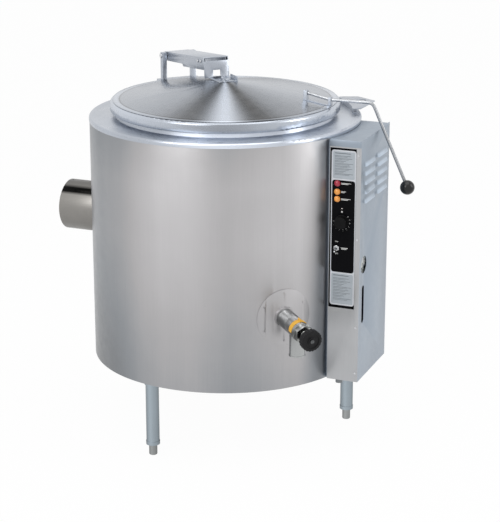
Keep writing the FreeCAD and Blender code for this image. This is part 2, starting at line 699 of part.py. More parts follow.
def on_arm(shape):
    """From the arm's own frame (forward is -Y, the pin is the origin) to the kettle."""
    copy = shape.copy()
    copy.rotate(ORIGIN, RIGHT, ARM_RISE)
    copy.translate(vec(0.0, HINGE_Y, HINGE_Z))
    return copy


def channel(half, sheet, s0, s1, top_u, rear_u, front_u, rear_cut=0.0):
    outline = [vec(-half, -s0, top_u),
               vec(-half, -s0 - rear_cut, rear_u),
               vec(-half, -s1, front_u),
               vec(-half, -s1, top_u)]
    body = prism(outline, RIGHT * (2.0 * half))
    inside = box(sheet - half, half - sheet, -s1 - 1.0, -s0 + 1.0, min(rear_u, front_u) - 1.0, top_u - sheet)
    return body.cut(inside)


def make_arm():
    body = channel(ARM_HALF, ARM_SHEET, ARM_REAR_S, ARM_FRONT_S, ARM_TOP_U, ARM_REAR_U, ARM_FRONT_U)
    hole = rod(vec(-2.0 * ARM_HALF, 0.0, 0.0), RIGHT, PIN_R + RUNNING_GAP, 4.0 * ARM_HALF)
    return on_arm(body.cut(hole))


def make_inner_channel():
    return on_arm(channel(INNER_HALF, INNER_SHEET, INNER_REAR_S, INNER_FRONT_S, ARM_TOP_U - ARM_SHEET,
                          INNER_BOTTOM_U, INNER_BOTTOM_U, INNER_SLOPE))


def make_arm_bolts():
    bolts = []
    for s in ARM_BOLT_SPOTS:
        for side in (-1.0, 1.0):
            start = vec(side * ARM_HALF, -s, 0.0)
            bolts.append(on_arm(hexagon(start, RIGHT * side, 2.0 * ARM_BOLT_R, ARM_BOLT_HEAD)))
            spacer = rod(vec(side * INNER_HALF, -s, 0.0), RIGHT * side, ARM_BOLT_R,
                         ARM_HALF - ARM_SHEET - INNER_HALF)
            bolts.append(on_arm(spacer))
    return grouped(bolts)


def make_clamp():
    plate = on_arm(box(-ARM_HALF, ARM_HALF, -ARM_FRONT_S - ARM_SHEET, -ARM_FRONT_S, -80.0, CLAMP_TOP_U))
    plate = plate.cut(box(-100.0, 100.0, -100.0, 200.0, 1000.0, COVER_TOP_Z))
    hole = box(-CLAMP_HOLE_HALF, CLAMP_HOLE_HALF, 0.0, 100.0, CLAMP_HOLE_Z[0], CLAMP_HOLE_Z[1])
    plate = plate.cut(hole)
    foot_top = COVER_TOP_Z + CLAMP_FOOT
    foot = box(CLAMP_FOOT_X[0], CLAMP_FOOT_X[1], CLAMP_FOOT_Y[0], CLAMP_FOOT_Y[1], COVER_TOP_Z, foot_top)
    tab = box(CLAMP_FOOT_X[1] - ARM_SHEET, CLAMP_FOOT_X[1], CLAMP_FOOT_Y[0], 30.0, foot_top, CLAMP_TAB_Z)
    small_tab = box(-15.5, -12.5, CLAMP_FOOT_Y[0], -10.0, foot_top, CLAMP_TAB_Z - 4.0)
    bolt = hexagon(vec(8.0, 2.0, foot_top), UP, 13.0, 5.0, RIGHT)
    rear_bolt = hexagon(vec(8.0, 34.0, foot_top), UP, 13.0, 5.0, RIGHT)
    return fused([plate, foot, tab, small_tab, bolt, rear_bolt])


def bent_rod(stations, radius, bend_r):
    """Rod along straight legs joined by equal bends. Stations are radius and height at the front."""
    points = [vec(0.0, -r, z) for r, z in stations]
    edges = []
    here = points[0]
    for index in range(1, len(points) - 1):
        corner = points[index]
        before = points[index - 1].sub(corner)
        after = points[index + 1].sub(corner)
        before.normalize()
        after.normalize()
        half_turn = before.getAngle(after) / 2.0
        reach = bend_r / math.tan(half_turn)
        centre_way = before + after
        centre_way.normalize()
        start = corner + before * reach
        end = corner + after * reach
        middle = corner + centre_way * (bend_r / math.sin(half_turn) - bend_r)
        edges.append(Part.makeLine(here, start))
        edges.append(Part.Arc(start, middle, end).toShape())
        here = end
    edges.append(Part.makeLine(here, points[-1]))
    spine = Part.Wire(edges)
    first = points[1].sub(points[0])
    profile = Part.Wire([Part.makeCircle(radius, points[0], first)])
    return spine.makePipeShell([profile], True, False)


def make_lever_rod():
    return turned(bent_rod(LEVER_PATH, LEVER_R, LEVER_BEND_R), LEVER_AZIMUTH)


def make_lever_ball(lever):
    r, z = LEVER_PATH[-1]
    ball = Part.makeSphere(BALL_R, polar(r, LEVER_AZIMUTH, z))
    return ball.cut(lever)


def make_lever_mounts(lever):
    half = LEVER_STRIP_HALF
    strip_band = box(-half, half, -LEVER_STRIP[1], -LEVER_STRIP[0], COVER_LIP_Z, COVER_TOP_Z)
    raised = cover_envelope()
    raised.translate(UP * LEVER_STRIP_THICK)
    strip = strip_band.common(raised)
    pieces = [strip]
    pieces.append(box(-half, half, -LEVER_BRACKET_R[1], -LEVER_BRACKET_R[0], COVER_EDGE_Z,
                      LEVER_BRACKET_TOP_Z))
    pieces.append(box(-LEVER_CLIP_HALF, LEVER_CLIP_HALF, -LEVER_CLIP_R[1], -LEVER_CLIP_R[0], COVER_EDGE_Z,
                      LEVER_CLIP_TOP_Z))
    pieces.append(box(-LEVER_CLIP_HALF, LEVER_CLIP_HALF, -LEVER_CLIP_R[1], -LEVER_STRIP[1] + 4.0,
                      COVER_EDGE_Z, COVER_EDGE_Z + LEVER_STRIP_THICK + 1.2))
    mounts = turned(fused(pieces).cut(cover_envelope()), LEVER_AZIMUTH)
    return mounts.cut(lever)


# Console, built at the front of the kettle and then carried round to its azimuth.
# Its control face looks to -X there and its louvred wall to -Y.
CONSOLE_AZIMUTH = 43.0
CONSOLE_FACE_X = -159.0
CONSOLE_REAR_X = 118.0
CONSOLE_STANDOUT = 77.0
CONSOLE_WIDTH = 99.0
CONSOLE_OUTER_Y = -CASING_R - CONSOLE_STANDOUT
CONSOLE_INNER_Y = CONSOLE_OUTER_Y + CONSOLE_WIDTH
CONSOLE_TOP_Z = 1003.0
CAP_Z = 983.0
BACK_FLANGE_X = -150.0
RECESS_Y = (CONSOLE_OUTER_Y + 15.0, CONSOLE_INNER_Y - 1.5)
RECESS_Z = (478.0, 979.0)
RECESS_DEPTH = 4.0
LABEL_Y = (RECESS_Y[0] + 1.5, RECESS_Y[1] - 3.5)
UPPER_LABEL_Z = (879.5, 972.0)
LOWER_LABEL_Z = (486.0, 591.0)
LABEL_THICK = 0.8
LOUVER_COLUMNS = ((-129.0, -34.0), (-7.0, 88.0))
LOUVER_TOP_Z = 922.0
LOUVER_PITCH = 28.5
LOUVER_ROWS = 5
LOUVER_HIGH = 15.0
LOUVER_PROUD = 7.0
LOUVER_SHEET = 1.2
GAUGE_X = -116.0
GAUGE_Z = 611.0
GAUGE_WINDOW_R = 27.0
GAUGE_R = 29.0
GAUGE_FRONT_Y = CONSOLE_OUTER_Y + 4.0
GAUGE_BACK_Y = GAUGE_FRONT_Y + 36.0
GAUGE_DISH_R = 27.0
GAUGE_DISH = 5.0
GAUGE_LENS = 1.5
GAUGE_SHAFT_R = 1.5
SLOT_X = -119.0
SLOT_Z = (425.0, 545.0)
SLOT_HALF = 10.0
GLASS_Y = CONSOLE_OUTER_Y + 24.0
GLASS_R = 7.0
GLASS_BORE_R = 5.0
GLASS_Z = (434.0, 538.0)
FITTING_R = 11.0
FITTING_HIGH = 28.0
PLUMB_AZIMUTH = 29.0
PLUMB_R = 6.0
PLUMB_GLASS_R = math.hypot(SLOT_X, GLASS_Y)
PLUMB_GAUGE_R = math.hypot(GAUGE_X, GAUGE_BACK_Y)
UPPER_BRANCH_Z = 552.0
LOWER_BRANCH_Z = 500.0
LOWER_FITTING_Z = 420.0
RISER_STANDOFF = 27.0
PLUMB_BEND_R = 12.0
GAS_VALVE_Y = CONSOLE_OUTER_Y + 55.0
GAS_VALVE_HALF = 21.0
GAS_VALVE_X_HALF = 30.0
GAS_VALVE_Z_HALF = 33.0
GAS_KNOB_R = 14.0
GAS_KNOB_HIGH = 16.0
KNOB_SHAFT_R = 3.0
INLET_X = -143.0
INLET_Y = CONSOLE_OUTER_Y + 64.0
INLET_R = 11.0
INLET_BORE_R = 9.3
INLET_BOTTOM_Z = 230.0
INLET_DEPTH = 12.0
INLET_PIPE_R = 8.0
CONDUIT_R = 11.15
CONDUIT_Y = CONSOLE_OUTER_Y + 37.0
CONDUIT_Z = 330.0
LAMP_Y = CONSOLE_OUTER_Y + 75.0
RED_LAMP_Z = 869.0
AMBER_LAMP_ZS = (843.0, 820.5)
LAMP_R = 8.0
LAMP_BEZEL_R = 9.5
LAMP_SHANK_R = 6.5
THERMOSTAT_Y = CONSOLE_OUTER_Y + 59.4
THERMOSTAT_Z = 750.7
THERMOSTAT_KNOB_R = 19.0
THERMOSTAT_KNOB_SKIRT_R = 21.5
SWITCH_Y = LAMP_Y
SWITCH_Z = 666.7
TOGGLE_TILT = 14.0
TOGGLE_PIVOT_BACK = 3.0
TOGGLE_R = 1.6
TOGGLE_TIP_R = 3.0
TOGGLE_LENGTH = 24.0
TOGGLE_BOSS_R = 3.2
TOGGLE_BOSS_HALF = 3.0
TOGGLE_PIN_R = 1.2
BUSHING_R = 6.2
BUSHING_BORE_R = 5.0
BACK_PLATE_X = (-85.0, 105.0)
BACK_PLATE_Z = (345.0, 960.0)
SCREW_R = 3.2
SCREW_HEAD = 1.6
FACE_SCREW_ZS = (272.0, 420.0, 700.0, 960.0)
FACE_SCREW_INSET = 8.0

PANEL_X = CONSOLE_FACE_X + RECESS_DEPTH
PANEL_BACK_X = PANEL_X + SHEET
TOGGLE_X = PANEL_X + TOGGLE_PIVOT_BACK
LEFT = vec(-1.0, 0.0, 0.0)
OUTWARD = vec(0.0, -1.0, 0.0)


def casing_solid():
    return rod(vec(0.0, 0.0, 0.0), UP, CASING_R, RIM_TOP_Z)


def louver(x0, x1, z):
    """Pressed hood open at its lower edge, and the slot behind it."""
    y = CONSOLE_OUTER_Y
    hood = None
    for inset, sign in ((0.0, 1.0), (LOUVER_SHEET, -1.0)):
        tip_y = y - LOUVER_PROUD + inset
        wedge = prism([vec(x0, y + SHEET, z - 1.0),
                       vec(x0, tip_y, z - 1.0),
                       vec(x0, tip_y, z + 1.5),
                       vec(x0, y + inset / 3.0, z + LOUVER_HIGH - inset),
                       vec(x0, y + SHEET, z + LOUVER_HIGH - inset)], RIGHT * (x1 - x0))
        plan = prism([vec(x0 + inset, y + SHEET, z - 2.0),
                      vec(x0 + inset, y, z - 2.0),
                      vec(x0 + inset + 6.0, tip_y, z - 2.0),
                      vec(x1 - inset - 6.0, tip_y, z - 2.0),
                      vec(x1 - inset, y, z - 2.0),
                      vec(x1 - inset, y + SHEET, z - 2.0)], UP * (LOUVER_HIGH + 4.0))
        shape = wedge.common(plan)
        hood = shape if sign > 0.0 else hood.cut(shape)
        cavity = shape
    return hood, cavity


def make_housing():
    body = box(CONSOLE_FACE_X + SHEET, CONSOLE_REAR_X, CONSOLE_OUTER_Y, -380.0, CASING_BOTTOM_Z, CONSOLE_TOP_Z)
    inside = box(CONSOLE_FACE_X - 1.0, CONSOLE_REAR_X - SHEET, CONSOLE_OUTER_Y + SHEET, -370.0,
                 CASING_BOTTOM_Z + SHEET, CONSOLE_TOP_Z - SHEET)
    shell = body.cut(inside)
    notch = box(CONSOLE_FACE_X - 1.0, BACK_FLANGE_X, CONSOLE_INNER_Y, -370.0, CASING_BOTTOM_Z - 1.0,
                CONSOLE_TOP_Z + 1.0)
    shell = shell.cut(notch)
    cap = box(CONSOLE_FACE_X, CONSOLE_FACE_X + SHEET, CONSOLE_OUTER_Y, CONSOLE_INNER_Y, CAP_Z, CONSOLE_TOP_Z)
    side = box(CONSOLE_FACE_X + SHEET, BACK_FLANGE_X + SHEET, CONSOLE_INNER_Y - SHEET, CONSOLE_INNER_Y,
               CASING_BOTTOM_Z, CONSOLE_TOP_Z)
    flange = box(BACK_FLANGE_X, BACK_FLANGE_X + SHEET, CONSOLE_INNER_Y - SHEET, -380.0, CASING_BOTTOM_Z,
                 CONSOLE_TOP_Z)
    lip = box(CONSOLE_REAR_X - 14.0, CONSOLE_REAR_X, CONSOLE_OUTER_Y, CONSOLE_OUTER_Y + SHEET,
              CONSOLE_TOP_Z, CONSOLE_TOP_Z + 3.0)
    shell = shell.fuse([cap, side, flange, lip])
    cutters = [casing_solid()]
    hoods = []
    for row in range(LOUVER_ROWS):
        for x0, x1 in LOUVER_COLUMNS:
            hood, cavity = louver(x0, x1, LOUVER_TOP_Z - row * LOUVER_PITCH)
            hoods.append(hood)
            cutters.append(cavity)
    cutters.append(rod(vec(GAUGE_X, CONSOLE_OUTER_Y - 1.0, GAUGE_Z), BACK, GAUGE_WINDOW_R, 4.0))
    cutters.append(box(SLOT_X - SLOT_HALF, SLOT_X + SLOT_HALF, CONSOLE_OUTER_Y - 1.0, CONSOLE_OUTER_Y + 3.0,
                       SLOT_Z[0] + SLOT_HALF, SLOT_Z[1] - SLOT_HALF))
    for z in (SLOT_Z[0] + SLOT_HALF, SLOT_Z[1] - SLOT_HALF):
        cutters.append(rod(vec(SLOT_X, CONSOLE_OUTER_Y - 1.0, z), BACK, SLOT_HALF, 4.0))
    cutters.append(rod(vec(INLET_X, INLET_Y, CASING_BOTTOM_Z - 1.0), UP, INLET_PIPE_R, 4.0))
    cutters.append(rod(vec(CONSOLE_REAR_X - 4.0, CONDUIT_Y, CONDUIT_Z), RIGHT, CONDUIT_R, 8.0))
    return turned(shell.cut(cutters).fuse(hoods), CONSOLE_AZIMUTH)


def face_screw_spots():
    spots = []
    for z in FACE_SCREW_ZS:
        spots.append(vec(CONSOLE_FACE_X, CONSOLE_OUTER_Y + FACE_SCREW_INSET, z))
    return spots


def make_front_panel():
    panel = box(CONSOLE_FACE_X, CONSOLE_FACE_X + SHEET, CONSOLE_OUTER_Y, CONSOLE_INNER_Y, CASING_BOTTOM_Z, CAP_Z)
    opening = box(CONSOLE_FACE_X - 1.0, CONSOLE_FACE_X + SHEET + 1.0, RECESS_Y[0], RECESS_Y[1],
                  RECESS_Z[0], RECESS_Z[1])
    return turned(panel.cut(opening), CONSOLE_AZIMUTH)


def make_panel_screws():
    screws = []
    for spot in face_screw_spots():
        head = rod(spot, LEFT, SCREW_R, SCREW_HEAD)
        slot = box(spot.x - SCREW_HEAD - 1.0, spot.x - SCREW_HEAD / 2.0, spot.y - 0.5, spot.y + 0.5,
                   spot.z - SCREW_R, spot.z + SCREW_R)
        screws.append(turned(head.cut(slot), CONSOLE_AZIMUTH))
    return grouped(screws)


def make_control_panel():
    y0 = RECESS_Y[0] - 2.0
    y1 = RECESS_Y[1]
    z0 = RECESS_Z[0] - 3.0
    z1 = RECESS_Z[1] + 3.0
    front = CONSOLE_FACE_X + SHEET
    panel = box(front, PANEL_BACK_X, y0, y1, z0, z1)
    panel = panel.cut(box(front - 1.0, PANEL_X, y0 + SHEET, y1 - SHEET, z0 + SHEET, z1 - SHEET))
    holes = [rod(vec(front, LAMP_Y, z), RIGHT, LAMP_SHANK_R, 10.0) for z in (RED_LAMP_Z,) + AMBER_LAMP_ZS]
    holes.append(rod(vec(front, THERMOSTAT_Y, THERMOSTAT_Z), RIGHT, KNOB_SHAFT_R + HOLE_ROOM, 10.0))
    holes.append(rod(vec(front, SWITCH_Y, SWITCH_Z), RIGHT, BUSHING_R, 10.0))
    return turned(panel.cut(holes), CONSOLE_AZIMUTH)


def make_labels():
    plates = []
    for z0, z1 in (UPPER_LABEL_Z, LOWER_LABEL_Z):
        plates.append(turned(box(PANEL_X - LABEL_THICK, PANEL_X, LABEL_Y[0], LABEL_Y[1], z0, z1),
                             CONSOLE_AZIMUTH))
    return grouped(plates)


def make_lamp(z):
    spot = vec(PANEL_X, LAMP_Y, z)
    bezel = rod(spot, LEFT, LAMP_BEZEL_R, 1.5)
    lens = rod(spot, LEFT, LAMP_R, 5.0)
    dome = Part.makeSphere(LAMP_R * 1.6, vec(PANEL_X + 4.8, LAMP_Y, z)).common(rod(spot, LEFT, LAMP_R, 12.0))
    shank = rod(spot, RIGHT, LAMP_SHANK_R, 26.0)
    return turned(fused([bezel, lens, dome, shank]), CONSOLE_AZIMUTH)


def make_thermostat_body():
    body = box(PANEL_BACK_X, PANEL_BACK_X + 36.0, THERMOSTAT_Y - 24.0, THERMOSTAT_Y + 24.0,
               THERMOSTAT_Z - 28.0, THERMOSTAT_Z + 28.0)
    hole = rod(vec(PANEL_BACK_X - 1.0, THERMOSTAT_Y, THERMOSTAT_Z), RIGHT, KNOB_SHAFT_R + RUNNING_GAP, 22.0)
    return turned(body.cut(hole), CONSOLE_AZIMUTH)


def make_thermostat_knob():
    start = vec(PANEL_X - 1.0, THERMOSTAT_Y, THERMOSTAT_Z)
    skirt = rod(start, LEFT, THERMOSTAT_KNOB_SKIRT_R, 3.0)
    grip = rod(start, LEFT, THERMOSTAT_KNOB_R, 18.0)
    cutters = []
    for index in range(12):
        angle = 2.0 * math.pi * (index + 0.5) / 12.0
        centre = vec(start.x - 3.0, start.y + 20.6 * math.cos(angle), start.z + 20.6 * math.sin(angle))
        cutters.append(rod(centre, LEFT, 2.6, 16.0))
    grip = grip.cut(cutters)
    pointer = box(start.x - 19.0, start.x - 18.0, start.y - 1.0, start.y + 1.0, start.z + 4.0, start.z + 17.0)
    shaft = rod(start, RIGHT, KNOB_SHAFT_R, 20.0)
    return turned(fused([skirt, grip, pointer, shaft]), CONSOLE_AZIMUTH)


def make_switch_body():
    block = box(PANEL_BACK_X, PANEL_BACK_X + 22.0, SWITCH_Y - 10.0, SWITCH_Y + 10.0, SWITCH_Z - 15.0,
                SWITCH_Z + 15.0)
    bushing = rod(vec(PANEL_BACK_X, SWITCH_Y, SWITCH_Z), LEFT, BUSHING_R, SHEET + 6.0)
    nut = hexagon(vec(PANEL_X, SWITCH_Y, SWITCH_Z), LEFT, 16.0, 2.5)
    body = block.fuse([bushing, nut])
    body = body.cut(rod(vec(PANEL_X - 10.0, SWITCH_Y, SWITCH_Z), RIGHT, BUSHING_BORE_R,
                        10.0 + TOGGLE_PIVOT_BACK + 6.0))
    pin = rod(vec(TOGGLE_X, SWITCH_Y - BUSHING_BORE_R - 1.0, SWITCH_Z), BACK, TOGGLE_PIN_R,
              2.0 * BUSHING_BORE_R + 2.0)
    return turned(body.fuse(pin), CONSOLE_AZIMUTH)


def make_toggle():
    tip = (0.0, TOGGLE_LENGTH)
    bar = revolved([(0.0, 0.0),
                    (TOGGLE_R, 0.0),
                    (TOGGLE_TIP_R, TOGGLE_LENGTH),
                    on_arc(tip, TOGGLE_TIP_R, 45.0) + (0.0, TOGGLE_LENGTH + TOGGLE_TIP_R)])
    bar.rotate(ORIGIN, BACK, -90.0)
    boss = rod(BACK * -TOGGLE_BOSS_HALF, BACK, TOGGLE_BOSS_R, 2.0 * TOGGLE_BOSS_HALF)
    toggle = bar.fuse(boss).cut(rod(BACK * -10.0, BACK, TOGGLE_PIN_R + RUNNING_GAP, 20.0))
    toggle.rotate(ORIGIN, BACK, -TOGGLE_TILT)
    toggle.translate(vec(TOGGLE_X, SWITCH_Y, SWITCH_Z))
    return turned(toggle, CONSOLE_AZIMUTH)


def make_gauge_case():
    spot = vec(GAUGE_X, GAUGE_FRONT_Y, GAUGE_Z)
    case = rod(spot, BACK, GAUGE_R, GAUGE_BACK_Y - GAUGE_FRONT_Y)
    case = case.cut(rod(spot, BACK, GAUGE_DISH_R, GAUGE_DISH))
    return turned(case.cut(rod(spot, BACK, GAUGE_SHAFT_R + RUNNING_GAP, GAUGE_DISH + 9.0)), CONSOLE_AZIMUTH)


def make_gauge_pointer():
    y = GAUGE_FRONT_Y + 2.0
    shaft = rod(vec(GAUGE_X, y, GAUGE_Z), BACK, GAUGE_SHAFT_R, GAUGE_DISH + 6.0)
    hub = rod(vec(GAUGE_X, y, GAUGE_Z), BACK, 3.2, 2.0)
    needle = prism([vec(GAUGE_X - 1.6, y, GAUGE_Z - 7.0),
                    vec(GAUGE_X + 1.6, y, GAUGE_Z - 7.0),
                    vec(GAUGE_X + 0.5, y, GAUGE_Z + 20.0),
                    vec(GAUGE_X - 0.5, y, GAUGE_Z + 20.0)], BACK)
    pointer = fused([shaft, hub, needle])
    pointer.rotate(vec(GAUGE_X, y, GAUGE_Z), BACK, -135.0)
    return turned(pointer, CONSOLE_AZIMUTH)


def make_gauge_lens():
    return turned(rod(vec(GAUGE_X, GAUGE_FRONT_Y - GAUGE_LENS, GAUGE_Z), BACK, GAUGE_R, GAUGE_LENS),
                  CONSOLE_AZIMUTH)


def make_sight_glass():
    return turned(pipe(vec(SLOT_X, GLASS_Y, GLASS_Z[0]), UP, GLASS_R, GLASS_BORE_R, GLASS_Z[1] - GLASS_Z[0]),
                  CONSOLE_AZIMUTH)


def plumb_rod(z, r0, r1, radius):
    return turned(rod(vec(0.0, -r1, z), BACK, radius, r1 - r0), PLUMB_AZIMUTH)


def make_fittings():
    upper = turned(rod(vec(SLOT_X, GLASS_Y, GLASS_Z[1]), UP, FITTING_R, FITTING_HIGH), CONSOLE_AZIMUTH)
    lower = turned(rod(vec(SLOT_X, GLASS_Y, GLASS_Z[0]), UP * -1.0, FITTING_R, FITTING_HIGH), CONSOLE_AZIMUTH)
    gauge_pipe = plumb_rod(GAUGE_Z, 200.0, PLUMB_GAUGE_R, PLUMB_R)
    upper_branch = plumb_rod(UPPER_BRANCH_Z, 200.0, PLUMB_GLASS_R, PLUMB_R)
    riser_r = CASING_R + RISER_STANDOFF
    lower_branch = bent_rod(((PLUMB_GLASS_R, LOWER_FITTING_Z), (riser_r, LOWER_FITTING_Z),
                             (riser_r, LOWER_BRANCH_Z), (180.0, LOWER_BRANCH_Z)), PLUMB_R, PLUMB_BEND_R)
    jacket = Part.makeSphere(JACKET_R, vec(0.0, 0.0, JACKET_CENTRE_Z))
    glass_set = fused([upper, lower, upper_branch, turned(lower_branch, PLUMB_AZIMUTH)]).cut(jacket)
    behind = turned(box(GAUGE_X - 40.0, GAUGE_X + 40.0, GAUGE_BACK_Y - 60.0, GAUGE_BACK_Y, GAUGE_Z - 20.0,
                        GAUGE_Z + 20.0), CONSOLE_AZIMUTH)
    return grouped([glass_set, gauge_pipe.cut(jacket).cut(behind)])


def plumbing_holes():
    room = PLUMB_R + HOLE_ROOM
    return [plumb_rod(z, CHAMBER_R - 30.0, CASING_R + SHEET, room)
            for z in (GAUGE_Z, UPPER_BRANCH_Z, LOWER_BRANCH_Z)]


def make_back_plate():
    plate = box(BACK_PLATE_X[0], BACK_PLATE_X[1], -CASING_R - SHEET, -CASING_R,
                BACK_PLATE_Z[0], BACK_PLATE_Z[1])
    return turned(plate, CONSOLE_AZIMUTH)


def make_ignition_module():
    y = -CASING_R - SHEET
    body = box(10.0, 90.0, y - 42.0, y, 640.0, 760.0)
    lug = box(0.0, 100.0, y - 2.0, y, 660.0, 740.0)
    plug = box(30.0, 70.0, y - 52.0, y - 42.0, 655.0, 670.0)
    return turned(fused([body, lug, plug]), CONSOLE_AZIMUTH)


def make_gas_valve():
    body = box(FEED_X - GAS_VALVE_X_HALF, FEED_X + GAS_VALVE_X_HALF, GAS_VALVE_Y - GAS_VALVE_HALF,
               GAS_VALVE_Y + GAS_VALVE_HALF, BURNER_Z - GAS_VALVE_Z_HALF, BURNER_Z + GAS_VALVE_Z_HALF)
    hole = rod(vec(FEED_X, GAS_VALVE_Y, BURNER_Z), UP, KNOB_SHAFT_R + RUNNING_GAP, GAS_VALVE_Z_HALF + 1.0)
    return turned(body.cut(hole), CONSOLE_AZIMUTH)


def make_gas_knob():
    z = BURNER_Z + GAS_VALVE_Z_HALF + 0.5
    spot = vec(FEED_X, GAS_VALVE_Y, z)
    knob = rod(spot, UP, GAS_KNOB_R, GAS_KNOB_HIGH)
    grip = box(FEED_X - 3.0, FEED_X + 3.0, GAS_VALVE_Y - GAS_KNOB_R - 3.0, GAS_VALVE_Y + GAS_KNOB_R,
               z + GAS_KNOB_HIGH - 6.0, z + GAS_KNOB_HIGH)
    shaft = rod(spot, UP * -1.0, KNOB_SHAFT_R, 22.0)
    return turned(fused([knob, grip, shaft]), CONSOLE_AZIMUTH)


def make_gas_inlet():
    bottom = vec(INLET_X, INLET_Y, INLET_BOTTOM_Z)
    coupling = rod(bottom, UP, INLET_R, CASING_BOTTOM_Z - INLET_BOTTOM_Z)
    riser = rod(vec(INLET_X, INLET_Y, CASING_BOTTOM_Z), UP, INLET_PIPE_R, BURNER_Z - CASING_BOTTOM_Z)
    elbow = Part.makeSphere(INLET_PIPE_R + 2.0, vec(INLET_X, INLET_Y, BURNER_Z))
    run = rod(vec(INLET_X, INLET_Y, BURNER_Z), RIGHT, INLET_PIPE_R, FEED_X - GAS_VALVE_X_HALF - INLET_X)
    pieces = fused([coupling, riser, elbow, run])
    return turned(pieces.cut(rod(bottom - UP, UP, INLET_BORE_R, INLET_DEPTH + 1.0)), CONSOLE_AZIMUTH)


# Faucet bracket on the deck's right side and relief valve at the rear
EAR_Z = 1030.0
EAR_SHEET = 3.0
EAR_OUTLINE = ((413.0, 1.0), (462.0, -21.0), (479.0, -102.0), (426.0, -148.0), (382.0, -185.0),
               (350.0, -172.0), (385.0, 0.0))
EAR_FLANGE_R = (398.0, 412.0)
EAR_HOLE = (443.0, -78.0)
EAR_HOLE_R = 14.5
RELIEF_AZIMUTH = 150.0
RELIEF_Z = 883.0
RELIEF_STANDOFF = 27.0
RELIEF_R = CASING_R + RELIEF_STANDOFF
RELIEF_NIPPLE_R = 9.0
RELIEF_BODY_R = 16.0
RELIEF_BODY_Z = (836.0, 914.0)
RELIEF_CAP_R = 13.0
RELIEF_CAP_Z = 932.0
RELIEF_OUTLET_R = 9.3
RELIEF_OUTLET_DEPTH = 14.0
RELIEF_FORK_X = (4.2, 7.2)
RELIEF_FORK_Z = 950.0
RELIEF_PIVOT_Z = 943.0
RELIEF_PIVOT_R = 2.0


def make_faucet_bracket():
    outline = [vec(x, y, EAR_Z) for x, y in EAR_OUTLINE]
    plate = prism(outline, UP * EAR_SHEET)
    below = prism([vec(p.x, p.y, DECK_Z) for p in outline], UP * (EAR_Z - DECK_Z))
    wall = ring(EAR_FLANGE_R[0] + EAR_SHEET, EAR_FLANGE_R[0], DECK_Z, EAR_Z).common(below)
    foot = ring(EAR_FLANGE_R[1], EAR_FLANGE_R[0], DECK_Z, DECK_Z + EAR_SHEET).common(below)
    bracket = fused([plate, wall, foot])
    bracket = bracket.cut(rod(vec(0.0, 0.0, DECK_Z), UP, EAR_FLANGE_R[0], 60.0))
    return bracket.cut(rod(vec(EAR_HOLE[0], EAR_HOLE[1], DECK_Z), UP, EAR_HOLE_R, 60.0))


def relief_hole():
    room = RELIEF_NIPPLE_R + HOLE_GAP
    return turned(rod(vec(0.0, -CASING_R - 10.0, RELIEF_Z), BACK, room, 60.0), RELIEF_AZIMUTH)


def make_relief_body():
    nipple = rod(vec(0.0, -RELIEF_R, RELIEF_Z), BACK, RELIEF_NIPPLE_R, RELIEF_R - JACKET_R + 10.0)
    nipple = nipple.cut(rod(vec(0.0, 0.0, 0.0), UP, JACKET_R, RIM_TOP_Z))
    body = rod(vec(0.0, -RELIEF_R, RELIEF_BODY_Z[0]), UP, RELIEF_BODY_R, RELIEF_BODY_Z[1] - RELIEF_BODY_Z[0])
    flats = hexagon(vec(0.0, -RELIEF_R, RELIEF_Z - 13.0), UP, 36.0, 26.0, RIGHT)
    cap = rod(vec(0.0, -RELIEF_R, RELIEF_BODY_Z[1]), UP, RELIEF_CAP_R, RELIEF_CAP_Z - RELIEF_BODY_Z[1])
    pieces = [nipple, body, flats, cap]
    for x in (RELIEF_FORK_X[0], -RELIEF_FORK_X[1]):
        pieces.append(box(x, x + RELIEF_FORK_X[1] - RELIEF_FORK_X[0], -RELIEF_R - 5.0, -RELIEF_R + 5.0,
                          RELIEF_CAP_Z - 2.0, RELIEF_FORK_Z))
    pieces.append(rod(vec(-RELIEF_FORK_X[1], -RELIEF_R, RELIEF_PIVOT_Z), RIGHT, RELIEF_PIVOT_R,
                      2.0 * RELIEF_FORK_X[1]))
    outlet = rod(vec(0.0, -RELIEF_R, RELIEF_BODY_Z[0] - 1.0), UP, RELIEF_OUTLET_R, RELIEF_OUTLET_DEPTH + 1.0)
    return turned(fused(pieces).cut(outlet), RELIEF_AZIMUTH)


def make_relief_lever():
    half = RELIEF_FORK_X[0] - 0.6
    bar = box(-half, half, -RELIEF_R - 46.0, -RELIEF_R + 8.0, RELIEF_PIVOT_Z - 4.0, RELIEF_PIVOT_Z + 4.0)
    loop = pipe(vec(0.0, -RELIEF_R - 56.0, RELIEF_PIVOT_Z - 1.5), UP, 12.0, 8.0, 3.0)
    lever = fused([bar, loop])
    hole = rod(vec(-20.0, -RELIEF_R, RELIEF_PIVOT_Z), RIGHT, RELIEF_PIVOT_R + RUNNING_GAP, 40.0)
    return turned(lever.cut(hole), RELIEF_AZIMUTH)


